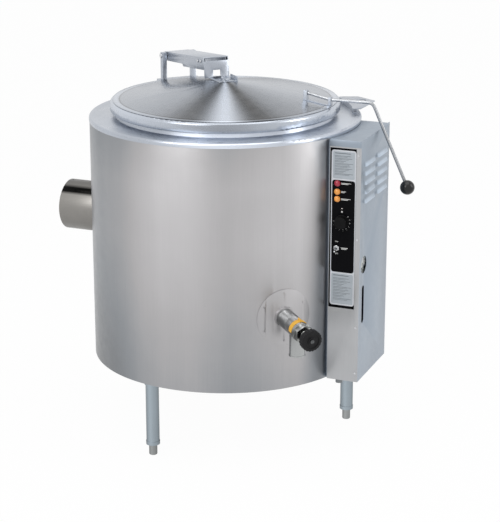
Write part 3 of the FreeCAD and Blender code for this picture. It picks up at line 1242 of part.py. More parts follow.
def main():
    draw_hole = draw_rod(DRAW_HOLE_S[0], DRAW_HOLE_S[1], DRAW_TUBE_R + HOLE_GAP)
    jacket_hole = draw_rod(JACKET_HOLE_S[0], JACKET_HOLE_S[1], DRAW_TUBE_R)
    flue_bore = flue_rod(CHAMBER_R - 30.0, CHAMBER_R + 8.0, FLUE_R - SHEET)
    flue_hole = flue_rod(CHAMBER_R - 10.0, CASING_R + 10.0, FLUE_R)
    plumbing = plumbing_holes()
    outer_holes = [draw_hole, flue_hole, feed_hole(), relief_hole()] + plumbing
    lever = make_lever_rod()
    save("casing_shell", make_casing(outer_holes))
    save("top_deck", make_deck())
    save("base_frame", make_base_frame())
    save("kettle_liner", make_liner())
    save("jacket_shell", make_jacket([jacket_hole]))
    save("combustion_chamber", make_chamber([draw_hole, flue_bore, feed_hole()] + plumbing))
    save("insulation_wrap", make_wrap(outer_holes))
    save("flue_collar", make_flue_collar())
    save("burner_tubes", make_burners())
    save("gas_manifold", make_manifold())
    save("draw_off_tube", make_draw_tube())
    save("tag_band", make_tag())
    save("draw_off_escutcheon", make_escutcheon())
    save("valve_body", make_valve_body())
    save("valve_bonnet", make_bonnet())
    save("valve_stem", make_stem())
    save("handwheel", make_handwheel())
    save("handwheel_screw", make_wheel_screw())
    save("outlet_strainer", make_strainer())
    for leg_name, foot_name, azimuth in LEG_AZIMUTHS:
        save(leg_name, make_leg(azimuth))
        save(foot_name, make_foot(azimuth))
    save("cover_shell", make_cover())
    save("hinge_bracket", make_hinge_bracket())
    save("hinge_pin", make_hinge_pin())
    save("cover_arm", make_arm())
    save("arm_inner_channel", make_inner_channel())
    save("arm_bolts", make_arm_bolts())
    save("cover_clamp_bracket", make_clamp())
    save("lever_rod", lever)
    save("lever_ball", make_lever_ball(lever))
    save("lever_mounts", make_lever_mounts(lever))
    save("console_housing", make_housing())
    save("console_front_panel", make_front_panel())
    save("panel_screws", make_panel_screws())
    save("control_panel", make_control_panel())
    save("label_plates", make_labels())
    save("lamp_red", make_lamp(RED_LAMP_Z))
    save("lamps_amber", grouped([make_lamp(z) for z in AMBER_LAMP_ZS]))
    save("thermostat_body", make_thermostat_body())
    save("thermostat_knob", make_thermostat_knob())
    save("switch_body", make_switch_body())
    save("switch_toggle", make_toggle())
    save("gauge_case", make_gauge_case())
    save("gauge_pointer", make_gauge_pointer())
    save("gauge_lens", make_gauge_lens())
    save("sight_glass_tube", make_sight_glass())
    save("sight_glass_fittings", make_fittings())
    save("console_back_plate", make_back_plate())
    save("ignition_module", make_ignition_module())
    save("gas_valve_body", make_gas_valve())
    save("gas_valve_knob", make_gas_knob())
    save("gas_inlet_pipe", make_gas_inlet())
    save("faucet_bracket", make_faucet_bracket())
    save("safety_valve_body", make_relief_body())
    save("safety_valve_lever", make_relief_lever())


main()
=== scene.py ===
import json
import math
import bpy
from bpy.props import FloatProperty, FloatVectorProperty, IntProperty, PointerProperty
from mathutils import Matrix, Vector


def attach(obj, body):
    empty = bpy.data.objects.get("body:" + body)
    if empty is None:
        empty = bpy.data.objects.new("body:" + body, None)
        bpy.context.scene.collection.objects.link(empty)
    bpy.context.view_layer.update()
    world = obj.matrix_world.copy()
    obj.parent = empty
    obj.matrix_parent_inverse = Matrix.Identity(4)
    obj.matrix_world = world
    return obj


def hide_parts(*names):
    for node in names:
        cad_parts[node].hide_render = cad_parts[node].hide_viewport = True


bl_info = {
    "name": "Steam Kettle Finish",
    "version": (1, 0, 0),
    "blender": (4, 5, 0),
    "location": "View3D > Sidebar > Kettle",
    "description": "Finishes the steam jacketed kettle, adds its printed and trim pieces and sets the stage",
    "category": "Object",
}

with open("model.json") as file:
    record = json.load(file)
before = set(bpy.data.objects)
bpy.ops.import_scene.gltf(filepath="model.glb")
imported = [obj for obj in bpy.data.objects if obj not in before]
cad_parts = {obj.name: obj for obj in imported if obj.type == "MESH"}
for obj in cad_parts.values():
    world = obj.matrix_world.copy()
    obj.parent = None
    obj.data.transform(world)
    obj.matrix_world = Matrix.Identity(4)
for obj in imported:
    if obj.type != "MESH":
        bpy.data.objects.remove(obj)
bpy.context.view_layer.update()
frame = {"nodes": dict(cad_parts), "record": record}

RECORD = frame["record"]
BODY_OF = {node: body for body, names in RECORD["behaviour"]["bodies"].items() for node in names}

MM = 0.001

# Dressing the CAD nodes
MERGE_WITHIN = 0.005 * MM
FLAT_WITHIN = math.radians(0.5)
BEVEL_FROM = math.radians(35.0)
SMOOTH_UNDER = math.radians(32.0)
HANDWHEEL_ROUND = 1.8 * MM
PANEL_ROUND = 0.2 * MM
FITTING_ROUND = 0.4 * MM

# Places in the console's own frame, before its turn
CONSOLE_TURN = math.radians(43.0)
PANEL_X = -155.0 * MM
LABEL_X = -155.8 * MM
LABEL_Y = -446.75 * MM
LAMP_Y = -427.0 * MM
THERMOSTAT_PLACE = (PANEL_X, -442.6 * MM, 750.7 * MM)
SWITCH_PLACE = (PANEL_X, LAMP_Y, 666.7 * MM)
GAUGE_PLACE = (-116.0 * MM, -493.0 * MM, 611.0 * MM)

# Printing
INK_PROUD = 0.25 * MM
PLATE_WITHIN = 0.002 * MM
CORNER_STEPS = 6
DIAL_START = math.radians(180.0)
DIAL_SWEEP = math.radians(222.0)
DIAL_FIGURE = 4.6 * MM
DIAL_TICK = (0.5 * MM, 1.3 * MM)
DIAL_TICK_OUT = 4.0 * MM
SWITCH_FIGURE = 6.0 * MM
LAMP_ROWS = ((869.0 * MM, 31.0 * MM), (843.0 * MM, 15.0 * MM), (820.5 * MM, 30.0 * MM))
LAMP_ROW_START = 12.0 * MM
LABEL_SPANS = (("upper_label_rows", 879.5 * MM, 972.0 * MM), ("lower_label_rows", 486.0 * MM, 591.0 * MM))
LABEL_ROW_WIDTH = 58.0 * MM
LABEL_ROW_SHARES = (1.0, 0.86, 0.95, 0.6)
OVERLAY_WIDTH = 77.5 * MM
OVERLAY_ROUND = 8.0 * MM
OVERLAY_RAIL = 2.5 * MM
OVERLAY_THICK = 0.8 * MM
FIELD_INSET = 4.5 * MM
FIELD_THICK = 0.1 * MM
GAUGE_START = math.radians(225.0)
GAUGE_SWEEP = math.radians(270.0)
GAUGE_MARK_R = 22.4 * MM
GAUGE_FIGURE_R = 15.6 * MM
GAUGE_FIGURE = 3.8 * MM

# Axes that tones turn about: a point, the direction, and the direction of angle 0
KETTLE_AXIS = ((0.0, 0.0, 0.0), (0.0, 0.0, 1.0), (0.0, -1.0, 0.0))
DRAW_AXIS = ((0.0, -0.425, 0.474), (0.0, 0.994522, 0.104528), (-1.0, 0.0, 0.0))
LEG_AZIMUTHS = {"front_left": -60.0, "front_right": 60.0, "rear": 180.0}
LEG_CIRCLE_R = 395.0 * MM
LOUVER_WAY = (math.sin(CONSOLE_TURN), -math.cos(CONSOLE_TURN), 0.0)

# Stage
FLOOR_SHOWN = 0.97
FLOOR_SIZE = 40.0
LIGHT_AIM = Vector((0.0, 0.0, 0.65))
# Name, azimuth and elevation in degrees, distance, width, height, setting of the power
LIGHTS = (("key_light", -62.0, 34.0, 4.2, 2.2, 2.6, "key_power"),
          ("side_light", 50.0, 24.0, 4.2, 1.2, 2.6, "side_power"),
          ("top_light", -10.0, 80.0, 3.6, 3.0, 3.0, "top_power"))
CAMERA_AIM = Vector((0.0, 0.0, 0.6))
AIM_RIGHT = 0.0773
AIM_UP = -0.0658
SENSOR_WIDTH = 36.0
CLIP_END = 100.0


# Properties

class KettleFinishSettings(bpy.types.PropertyGroup):
    """Colours and surface of the metal and plastic"""

    casing_colour: FloatVectorProperty(
        name="Casing", description="Colour of the brushed outer steel", subtype="COLOR",
        default=(0.455, 0.447, 0.455), min=0.0, max=1.0)
    cover_colour: FloatVectorProperty(
        name="Cover", description="Colour of the spun cover and deck", subtype="COLOR",
        default=(0.42, 0.45, 0.50), min=0.0, max=1.0)
    dark_colour: FloatVectorProperty(
        name="Dark plastic", description="Colour of the knobs, the ball and the handwheel", subtype="COLOR",
        default=(0.006, 0.006, 0.007), min=0.0, max=1.0)
    tag_colour: FloatVectorProperty(
        name="Band", description="Colour of the band round the draw-off tube", subtype="COLOR",
        default=(0.80, 0.44, 0.05), min=0.0, max=1.0)
    edge_round: FloatProperty(
        name="Edge round", description="Width of the softened edge on plates and castings",
        subtype="DISTANCE", unit="LENGTH", default=0.0008, min=0.0001, max=0.003)
    sheet_round: FloatProperty(
        name="Sheet edge round", description="Width of the softened edge on thin sheet",
        subtype="DISTANCE", unit="LENGTH", default=0.0004, min=0.0001, max=0.0007)


class KettlePrintSettings(bpy.types.PropertyGroup):
    """Scales and printed lines"""

    dial_numbers: IntProperty(
        name="Dial numbers", description="How many numbers stand round the thermostat knob", default=10,
        min=2, max=12)
    dial_radius: FloatProperty(
        name="Dial radius", description="Radius of the thermostat scale", subtype="DISTANCE", unit="LENGTH",
        default=0.0252, min=0.024, max=0.03)
    gauge_marks: IntProperty(
        name="Gauge marks", description="How many marks stand round the pressure gauge", default=31,
        min=7, max=61)
    label_rows: IntProperty(
        name="Label rows", description="How many printed rows fill each plate", default=9, min=3, max=16)


class KettleStageSettings(bpy.types.PropertyGroup):
    """Floor, lights and camera"""

    floor_colour: FloatVectorProperty(
        name="Floor", description="Colour of the floor", subtype="COLOR", default=(0.86, 0.86, 0.86),
        min=0.0, max=1.0)
    key_power: FloatProperty(
        name="Key light", description="Power of the large light at the left", default=46.0,
        min=0.0, max=500.0)
    side_power: FloatProperty(
        name="Side light", description="Power of the light at the right", default=30.0, min=0.0, max=500.0)
    top_power: FloatProperty(
        name="Top light", description="Power of the light overhead", default=40.0, min=0.0, max=500.0)
    surround: FloatProperty(
        name="Surround", description="Brightness of the studio round the object", default=0.62,
        min=0.0, max=2.0)
    azimuth: FloatProperty(
        name="Azimuth", description="Camera angle round the kettle", subtype="ANGLE", unit="ROTATION",
        default=math.radians(-25.24))
    elevation: FloatProperty(
        name="Elevation", description="Camera angle above the horizon", subtype="ANGLE", unit="ROTATION",
        default=math.radians(17.30))
    distance: FloatProperty(
        name="Distance", description="From the camera to the kettle", subtype="DISTANCE", unit="LENGTH",
        default=5.522, min=1.0)
    lens: FloatProperty(
        name="Lens", description="Focal length", subtype="DISTANCE_CAMERA", unit="CAMERA", default=118.75)


# Small helpers

def alone(obj):
    """Only this object is selected and active."""
    if bpy.context.object and bpy.context.object.mode != "OBJECT":
        bpy.ops.object.mode_set(mode="OBJECT")
    bpy.ops.object.select_all(action="DESELECT")
    obj.select_set(True)
    bpy.context.view_layer.objects.active = obj


def settle(obj, matrix):
    """The object moves, and its place goes into its mesh."""
    obj.matrix_world = matrix
    alone(obj)
    bpy.ops.object.transform_apply(location=True, rotation=True, scale=True)


def joined(objects, name):
    """One object from several."""
    bpy.ops.object.select_all(action="DESELECT")
    for obj in objects:
        obj.select_set(True)
    bpy.context.view_layer.objects.active = objects[0]
    if len(objects) > 1:
        bpy.ops.object.join()
    whole = bpy.context.object
    whole.name = name
    return whole


def rounded(obj, width, segments):
    """Bevels the sharp edges, and applies it."""
    alone(obj)
    modifier = obj.modifiers.new("Round", "BEVEL")
    modifier.width = width
    modifier.segments = segments
    modifier.limit_method = "ANGLE"
    modifier.angle_limit = BEVEL_FROM
    modifier.use_clamp_overlap = True
    bpy.ops.object.modifier_apply(modifier=modifier.name)


def smooth(obj):
    """Smooth shading across the edges of curves, and none across the sharp ones."""
    alone(obj)
    bpy.ops.object.shade_smooth_by_angle(angle=SMOOTH_UNDER)


def paint(obj, material):
    obj.data.materials.clear()
    obj.data.materials.append(material)


def dress(node, material, width=0.0, segments=2):
    """A copy of a CAD node with merged faces, soft edges and smooth curves takes the node's place."""
    source = frame["nodes"][node]
    copy = source.copy()
    copy.data = source.data.copy()
    copy.name = node + "_finished"
    copy.parent = None
    copy.matrix_world = Matrix.Identity(4)
    bpy.context.scene.collection.objects.link(copy)
    alone(copy)
    bpy.ops.object.mode_set(mode="EDIT")
    bpy.ops.mesh.select_all(action="SELECT")
    bpy.ops.mesh.remove_doubles(threshold=MERGE_WITHIN)
    bpy.ops.mesh.dissolve_limited(angle_limit=FLAT_WITHIN)
    bpy.ops.object.mode_set(mode="OBJECT")
    if width:
        rounded(copy, width, segments)
    smooth(copy)
    paint(copy, material)
    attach(copy, BODY_OF[node])
    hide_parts(node)
    return copy


def in_console(location, face):
    """Matrix from a flat drawing (x right, y up, z out) to a console face. face is 'control' or 'outer'."""
    if face == "control":
        basis = Matrix(((0.0, 0.0, -1.0), (-1.0, 0.0, 0.0), (0.0, 1.0, 0.0))).to_4x4()
    else:
        basis = Matrix(((1.0, 0.0, 0.0), (0.0, 0.0, -1.0), (0.0, 1.0, 0.0))).to_4x4()
    return Matrix.Rotation(CONSOLE_TURN, 4, "Z") @ Matrix.Translation(location) @ basis


def ink_bar(width, height, x=0.0, y=0.0, turn=0.0):
    """Flat bar with rounded corners in a drawing, thick enough to stand on the plate."""
    bpy.ops.mesh.primitive_cube_add(size=1.0, location=(0.0, 0.0, 0.0))
    bar = bpy.context.object
    matrix = Matrix.Rotation(turn, 4, "Z") @ Matrix.Translation((x, y, INK_PROUD / 2.0))
    settle(bar, matrix @ Matrix.Diagonal((width, height, INK_PROUD, 1.0)))
    rounded(bar, INK_PROUD * 0.3, 1)
    return bar


def ink_text(words, size, x, y):
    """Letters or figures in a drawing as a mesh."""
    bpy.ops.object.text_add(location=(0.0, 0.0, 0.0))
    text = bpy.context.object
    text.data.body = words
    text.data.size = size
    text.data.align_x = "CENTER"
    text.data.align_y = "CENTER"
    text.data.extrude = INK_PROUD / 2.0
    text.data.resolution_u = 3
    alone(text)
    bpy.ops.object.convert(target="MESH")
    text = bpy.context.object
    settle(text, Matrix.Translation((x, y, INK_PROUD / 2.0)))
    return text


def outline(curve, x0, x1, y0, y1, radius):
    """Adds a closed rectangle with round corners to a flat curve."""
    points = []
    for x, y, start in ((x1 - radius, y1 - radius, 0.0), (x0 + radius, y1 - radius, 90.0),
                        (x0 + radius, y0 + radius, 180.0), (x1 - radius, y0 + radius, 270.0)):
        for step in range(CORNER_STEPS + 1):
            angle = math.radians(start + 90.0 * step / CORNER_STEPS)
            points.append((x + radius * math.cos(angle), y + radius * math.sin(angle)))
    spline = curve.splines.new("POLY")
    spline.points.add(len(points) - 1)
    for point, (x, y) in zip(spline.points, points):
        point.co = (x, y, 0.0, 1.0)
    spline.use_cyclic_u = True


def flat_plate(outlines, thickness):
    """Plate with round corners and windows in a drawing, as a mesh."""
    curve = bpy.data.curves.new("plate", "CURVE")
    curve.dimensions = "2D"
    curve.fill_mode = "BOTH"
    curve.extrude = thickness / 2.0
    for edges in outlines:
        outline(curve, *edges)
    plate = bpy.data.objects.new("plate", curve)
    bpy.context.scene.collection.objects.link(plate)
    alone(plate)
    bpy.ops.object.convert(target="MESH")
    plate = bpy.context.object
    bpy.ops.object.mode_set(mode="EDIT")
    bpy.ops.mesh.select_all(action="SELECT")
    bpy.ops.mesh.remove_doubles(threshold=PLATE_WITHIN)
    bpy.ops.mesh.normals_make_consistent(inside=False)
    bpy.ops.object.mode_set(mode="OBJECT")
    settle(plate, Matrix.Translation((0.0, 0.0, thickness / 2.0)))
    return plate


def ink_dot(radius, x, y):
    """Round printed dot in a drawing."""
    return flat_plate(((x - radius, x + radius, y - radius, y + radius, radius),), INK_PROUD)


def printed(parts, name, location, face, material):
    """Joins the drawing's pieces, lays them on a console face and hands them over."""
    whole = joined(parts, name)
    settle(whole, in_console(location, face))
    paint(whole, material)
    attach(whole, "kettle")
    return whole


# Materials

def fresh(name):
    """A material with a Principled shader and nothing else."""
    material = bpy.data.materials.new(name)
    material.use_nodes = True
    tree = material.node_tree
    tree.nodes.clear()
    output = tree.nodes.new("ShaderNodeOutputMaterial")
    shader = tree.nodes.new("ShaderNodeBsdfPrincipled")
    tree.links.new(shader.outputs["BSDF"], output.inputs["Surface"])
    return material, tree, shader


def add(tree, kind, inputs=None, **settings):
    """A node with its settings, and its inputs set or linked."""
    node = tree.nodes.new(kind)
    for key, value in settings.items():
        setattr(node, key, value)
    for key, value in (inputs or {}).items():
        socket = node.inputs[key]
        if isinstance(value, bpy.types.NodeSocket):
            tree.links.new(value, socket)
        else:
            socket.default_value = value
    return node


def maths(tree, operation, first, second=0.0):
    """Output of a Math node."""
    return add(tree, "ShaderNodeMath", {0: first, 1: second}, operation=operation).outputs[0]


def spread(tree, value, low, high, start, end):
    """Low at start and high at end, with a straight run between them."""
    return add(tree, "ShaderNodeMapRange", {"Value": value, "From Min": start, "From Max": end,
                                            "To Min": low, "To Max": high}).outputs["Result"]


def mixed(tree, factor, first, second):
    """A colour between two colours."""
    node = add(tree, "ShaderNodeMix", data_type="RGBA")
    for index, value in ((0, factor), (6, first), (7, second)):
        socket = node.inputs[index]
        if isinstance(value, bpy.types.NodeSocket):
            tree.links.new(value, socket)
        elif index == 0:
            socket.default_value = value
        else:
            socket.default_value = (value[0], value[1], value[2], 1.0)
    return node.outputs[2]


def grain_vector(tree, way, fine, long):
    """Coordinates that change quickly across the grain and slowly along it.

    up and around follow the kettle wall, radial fans out from the axis, x, y and z run straight.
    """
    place = add(tree, "ShaderNodeTexCoord").outputs["Object"]
    parts = add(tree, "ShaderNodeSeparateXYZ", {"Vector": place}).outputs
    x, y, z = parts[0], parts[1], parts[2]
    if way in ("up", "around", "radial"):
        angle = maths(tree, "ARCTAN2", x, y)
        radius = maths(tree, "SQRT", maths(tree, "ADD", maths(tree, "MULTIPLY", x, x),
                                           maths(tree, "MULTIPLY", y, y)))
        if way == "up":
            sizes = ((angle, fine * 0.4), (z, long), (radius, long))
        elif way == "around":
            sizes = ((angle, long * 0.4), (z, fine), (radius, fine))
        else:
            sizes = ((angle, fine * 0.3), (radius, long), (z, 0.0))
    else:
        sizes = tuple((part, long if way == axis else fine) for part, axis in ((x, "x"), (y, "y"), (z, "z")))
    scaled = [maths(tree, "MULTIPLY", part, factor) for part, factor in sizes]
    return add(tree, "ShaderNodeCombineXYZ", {0: scaled[0], 1: scaled[1], 2: scaled[2]}).outputs[0]


def stretch_highlights(tree, shader, amount):
    """Highlights stretch across the grain, up the slope of a spun piece."""
    place = add(tree, "ShaderNodeTexCoord").outputs["Object"]
    parts = add(tree, "ShaderNodeSeparateXYZ", {"Vector": place}).outputs
    x, y = parts[0], parts[1]
    radius = maths(tree, "SQRT", maths(tree, "ADD", maths(tree, "MULTIPLY", x, x),
                                       maths(tree, "MULTIPLY", y, y)))
    line = add(tree, "ShaderNodeCombineXYZ", {0: x, 1: y, 2: radius}).outputs[0]
    unit = add(tree, "ShaderNodeVectorMath", {0: line}, operation="NORMALIZE").outputs[0]
    world = add(tree, "ShaderNodeVectorTransform", {0: unit}, vector_type="VECTOR",
                convert_from="OBJECT", convert_to="WORLD").outputs[0]
    tree.links.new(world, shader.inputs["Tangent"])
    shader.inputs["Anisotropic"].default_value = amount


def outward(tree, about):
    """Unit vector from an axis to the surface."""
    point, axis = about[:2]
    place = add(tree, "ShaderNodeTexCoord").outputs["Object"]
    away = add(tree, "ShaderNodeVectorMath", {0: place, 1: point}, operation="SUBTRACT").outputs[0]
    along = add(tree, "ShaderNodeVectorMath", {0: away, 1: axis}, operation="PROJECT").outputs[0]
    flat = add(tree, "ShaderNodeVectorMath", {0: away, 1: along}, operation="SUBTRACT").outputs[0]
    return add(tree, "ShaderNodeVectorMath", {0: flat}, operation="NORMALIZE").outputs[0]


def lobe(tree, unit, about, degrees, sharpness, gain):
    """Painted light round the axis: tone swells towards one angle, a painted highlight where gain is above 0
    and painted shade where it is below.
    """
    angle = math.radians(degrees)
    zero, axis = Vector(about[2]), Vector(about[1])
    towards = zero * math.cos(angle) + axis.cross(zero) * math.sin(angle)
    facing = add(tree, "ShaderNodeVectorMath", {0: unit, 1: tuple(towards)},
                 operation="DOT_PRODUCT").outputs["Value"]
    swell = maths(tree, "POWER", maths(tree, "MAXIMUM", facing, 0.0), sharpness)
    return maths(tree, "MULTIPLY", swell, gain)


def band(tree, kind, centre, half, gain):
    """Painted light in a band, at one height (z) or at one distance from the kettle axis (r): a painted
    highlight where gain is above 0 and painted shade where it is below.
    """
    place = add(tree, "ShaderNodeTexCoord").outputs["Object"]
    if kind == "z":
        reach = add(tree, "ShaderNodeSeparateXYZ", {"Vector": place}).outputs[2]
    else:
        flat = add(tree, "ShaderNodeVectorMath", {0: place, 1: (1.0, 1.0, 0.0)},
                   operation="MULTIPLY").outputs[0]
        reach = add(tree, "ShaderNodeVectorMath", {0: flat}, operation="LENGTH").outputs["Value"]
    away = maths(tree, "ABSOLUTE", maths(tree, "SUBTRACT", reach, centre))
    return spread(tree, away, gain, 0.0, half * 0.6, half * 1.5)


def brushed(name, colour, roughness, way, fine, long, streak, depth, cloud, broad=0.0, stretch=0.0, lobes=(),
            drifts=(), bands=(), about=KETTLE_AXIS, raised=None, cool=None):
    """Brushed steel: fine streaks, a slow drift of tone, and rubbed patches that are a little duller.

    fine and long are the grain's rates across and along way, streak, cloud and broad are how far fine, patchy
    and wide tones swing, and depth is the bump. lobes are painted highlights and painted shade, (angle,
    sharpness, gain) round the axis about, drifts are painted shade and a little painted light that follow the
    height, (low z, high z, tone below, tone above), and bands are painted highlights and painted shade in
    bands, (kind, centre, half width, gain). raised is (direction, distance, depth, gain) of a painted
    highlight along pressed work, and cool is (colour, its tone, the tone of the plain colour) of a bluish
    tint that the darker-toned parts take, most of them darkened by painted shade.
    """
    material, tree, shader = fresh(name)
    vector = grain_vector(tree, way, fine, long)
    streaks = add(tree, "ShaderNodeTexNoise", {"Vector": vector, "Scale": 1.0, "Detail": 5.0,
                                               "Roughness": 0.65}).outputs["Fac"]
    place = add(tree, "ShaderNodeTexCoord").outputs["Object"]
    clouds = add(tree, "ShaderNodeTexNoise", {"Vector": place, "Scale": 4.5, "Detail": 3.0,
                                              "Roughness": 0.5}).outputs["Fac"]
    rubbed = add(tree, "ShaderNodeTexNoise", {"Vector": place, "Scale": 38.0, "Detail": 4.0,
                                              "Roughness": 0.6}).outputs["Fac"]
    tone = maths(tree, "ADD", spread(tree, streaks, 1.0 - streak, 1.0 + streak, 0.25, 0.75),
                 spread(tree, clouds, -cloud, cloud, 0.3, 0.7))
    if broad:
        slow = grain_vector(tree, way, 9.0, 0.35)
        wide = add(tree, "ShaderNodeTexNoise", {"Vector": slow, "Scale": 1.0, "Detail": 2.0,
                                                "Roughness": 0.5}).outputs["Fac"]
        tone = maths(tree, "ADD", tone, spread(tree, wide, -broad, broad, 0.25, 0.75))
    unit = outward(tree, about) if lobes else None
    # Painted highlights and painted shade round the axis
    for degrees, sharpness, gain in lobes:
        tone = maths(tree, "ADD", tone, lobe(tree, unit, about, degrees, sharpness, gain))
    # Painted shade and painted light that follow the height
    for low, high, below, above in drifts:
        height = add(tree, "ShaderNodeSeparateXYZ", {"Vector": place}).outputs[2]
        tone = maths(tree, "ADD", tone, spread(tree, height, below, above, low, high))
    # Painted highlights and painted shade in bands
    for kind, middle, half, gain in bands:
        tone = maths(tree, "ADD", tone, band(tree, kind, middle, half, gain))
    # Painted highlight along the outer part of pressed work
    if raised:
        direction, start, rise, gain = raised
        reach = add(tree, "ShaderNodeVectorMath", {0: place, 1: direction}, operation="DOT_PRODUCT")
        tone = maths(tree, "ADD", tone, spread(tree, reach.outputs["Value"], 0.0, gain, start, start + rise))
    if stretch:
        stretch_highlights(tree, shader, stretch)
    base = colour
    # Bluish tint in the darker tone, most of which is painted shade
    if cool:
        base = mixed(tree, spread(tree, tone, 0.0, 1.0, cool[1], cool[2]), cool[0], colour)
    scaled = add(tree, "ShaderNodeVectorMath", {0: base}, operation="SCALE")
    tree.links.new(tone, scaled.inputs["Scale"])
    tree.links.new(scaled.outputs[0], shader.inputs["Base Color"])
    dull = maths(tree, "ADD", spread(tree, streaks, roughness - 0.05, roughness + 0.05, 0.25, 0.75),
                 spread(tree, rubbed, -0.03, 0.05, 0.3, 0.75))
    tree.links.new(dull, shader.inputs["Roughness"])
    bump = add(tree, "ShaderNodeBump", {"Strength": depth, "Distance": 0.0006, "Height": streaks})
    tree.links.new(bump.outputs["Normal"], shader.inputs["Normal"])
    shader.inputs["Metallic"].default_value = 1.0
    return material


def worn_metal(name, colour, dark, roughness, metallic, scale, share, depth):
    """Cast, plated or painted metal whose tone goes from one colour to a darker one in patches."""
    material, tree, shader = fresh(name)
    place = add(tree, "ShaderNodeTexCoord").outputs["Object"]
    patches = add(tree, "ShaderNodeTexNoise", {"Vector": place, "Scale": scale, "Detail": 6.0,
                                               "Roughness": 0.62}).outputs["Fac"]
    grit = add(tree, "ShaderNodeTexNoise", {"Vector": place, "Scale": scale * 14.0, "Detail": 2.0,
                                            "Roughness": 0.5}).outputs["Fac"]
    factor = spread(tree, patches, 0.0, share, 0.4, 0.7)
    tree.links.new(mixed(tree, factor, colour, dark), shader.inputs["Base Color"])
    tree.links.new(spread(tree, patches, roughness - 0.08, roughness + 0.12, 0.3, 0.7),
                   shader.inputs["Roughness"])
    bump = add(tree, "ShaderNodeBump", {"Strength": depth, "Distance": 0.0004, "Height": grit})
    tree.links.new(bump.outputs["Normal"], shader.inputs["Normal"])
    shader.inputs["Metallic"].default_value = metallic
    return material


def moulded(name, colour, roughness, coat, grain, wear, shine=0.5):
    """Moulded plastic with a fine grain and rubbed, paler patches."""
    material, tree, shader = fresh(name)
    place = add(tree, "ShaderNodeTexCoord").outputs["Object"]
    grit = add(tree, "ShaderNodeTexNoise", {"Vector": place, "Scale": 1500.0, "Detail": 2.0,
                                            "Roughness": 0.5}).outputs["Fac"]
    rubbed = add(tree, "ShaderNodeTexNoise", {"Vector": place, "Scale": 90.0, "Detail": 4.0,
                                              "Roughness": 0.6}).outputs["Fac"]
    factor = spread(tree, rubbed, 0.0, 0.35, 0.52, 0.8)
    pale = tuple(min(1.0, part + extra) for part, extra in zip(colour, wear))
    tree.links.new(mixed(tree, factor, colour, pale), shader.inputs["Base Color"])
    tree.links.new(spread(tree, rubbed, roughness - 0.05, roughness + 0.1, 0.3, 0.75),
                   shader.inputs["Roughness"])
    bump = add(tree, "ShaderNodeBump", {"Strength": grain, "Distance": 0.0002, "Height": grit})
    tree.links.new(bump.outputs["Normal"], shader.inputs["Normal"])
    shader.inputs["Coat Weight"].default_value = coat
    shader.inputs["Coat Roughness"].default_value = 0.08
    shader.inputs["Specular IOR Level"].default_value = shine
    return material


def clear(name, colour):
    """Clear glass with faint smears."""
    material, tree, shader = fresh(name)
    place = add(tree, "ShaderNodeTexCoord").outputs["Object"]
    smears = add(tree, "ShaderNodeTexNoise", {"Vector": place, "Scale": 45.0, "Detail": 3.0}).outputs["Fac"]
    tree.links.new(spread(tree, smears, 0.02, 0.12, 0.45, 0.75), shader.inputs["Roughness"])
    shader.inputs["Base Color"].default_value = (colour[0], colour[1], colour[2], 1.0)
    shader.inputs["Transmission Weight"].default_value = 1.0
    shader.inputs["IOR"].default_value = 1.45
    return material


def woollen(name, colour):
    """Mineral wool blanket."""
    material, tree, shader = fresh(name)
    place = add(tree, "ShaderNodeTexCoord").outputs["Object"]
    fibres = add(tree, "ShaderNodeTexNoise", {"Vector": place, "Scale": 240.0, "Detail": 8.0,
                                              "Roughness": 0.75, "Distortion": 1.2}).outputs["Fac"]
    dark = tuple(part * 0.7 for part in colour)
    tree.links.new(mixed(tree, spread(tree, fibres, 0.0, 1.0, 0.3, 0.7), dark, colour),
                   shader.inputs["Base Color"])
    bump = add(tree, "ShaderNodeBump", {"Strength": 0.6, "Distance": 0.002, "Height": fibres})
    tree.links.new(bump.outputs["Normal"], shader.inputs["Normal"])
    shader.inputs["Roughness"].default_value = 0.95
    return material


# Painted highlights (gain above 0) and painted shade (gain below 0) in wide streaks of tone round an axis:
# angle in degrees, sharpness, gain
COVER_PAINTED_LIGHT = ((-25.0, 70.0, 1.55), (-42.0, 26.0, -0.80), (-8.0, 26.0, -0.95), (20.0, 30.0, -0.22),
               (152.0, 45.0, 0.45), (130.0, 30.0, -0.25), (175.0, 30.0, -0.25))
DECK_PAINTED_LIGHT = ((-26.0, 14.0, 0.75), (-80.0, 10.0, 0.10), (30.0, 8.0, 0.30), (150.0, 10.0, 0.30))
RIM_PAINTED_LIGHT = ((-26.0, 16.0, -0.30), (-80.0, 8.0, 0.25), (30.0, 8.0, 0.20), (150.0, 10.0, -0.15))
# On the casing these are painted highlights and painted shade, and the narrow dark one at 17.5 degrees is a
# painted shadow beside the console
CASING_PAINTED_LIGHT = ((-49.0, 14.0, 0.14), (-6.0, 60.0, 0.08), (7.0, 170.0, 0.16), (17.5, 170.0, -0.16),
                (-95.0, 7.0, -0.34), (-72.0, 40.0, -0.06), (-27.0, 60.0, -0.10))
# On the draw-off tube and the legs these are a painted highlight stripe and painted dark edges that stand in
# for chrome reflections
TUBE_PAINTED_LIGHT = ((72.0, 70.0, 0.9), (108.0, 60.0, -0.55), (-10.0, 3.0, -0.50), (30.0, 90.0, 0.25))
LEG_PAINTED_LIGHT = ((-45.0, 10.0, 0.25), (-115.0, 5.0, -0.50), (65.0, 4.0, -0.55), (155.0, 6.0, 0.1))

# Painted shade and painted highlights that follow the height or the distance from the axis
# Painted dark line round the cover's edge and a painted highlight on the ring just outside it
COVER_EDGE_PAINTED_LIGHT = (("r", 0.3305, 0.0022, -0.45), ("r", 0.342, 0.008, 0.50))
# Painted shade on the casing: darker towards the bottom, and again towards its top edge under the deck
CASING_PAINTED_SHADE = ((0.25, 0.70, -0.26, 0.06), (0.88, 1.0, 0.0, -0.13))
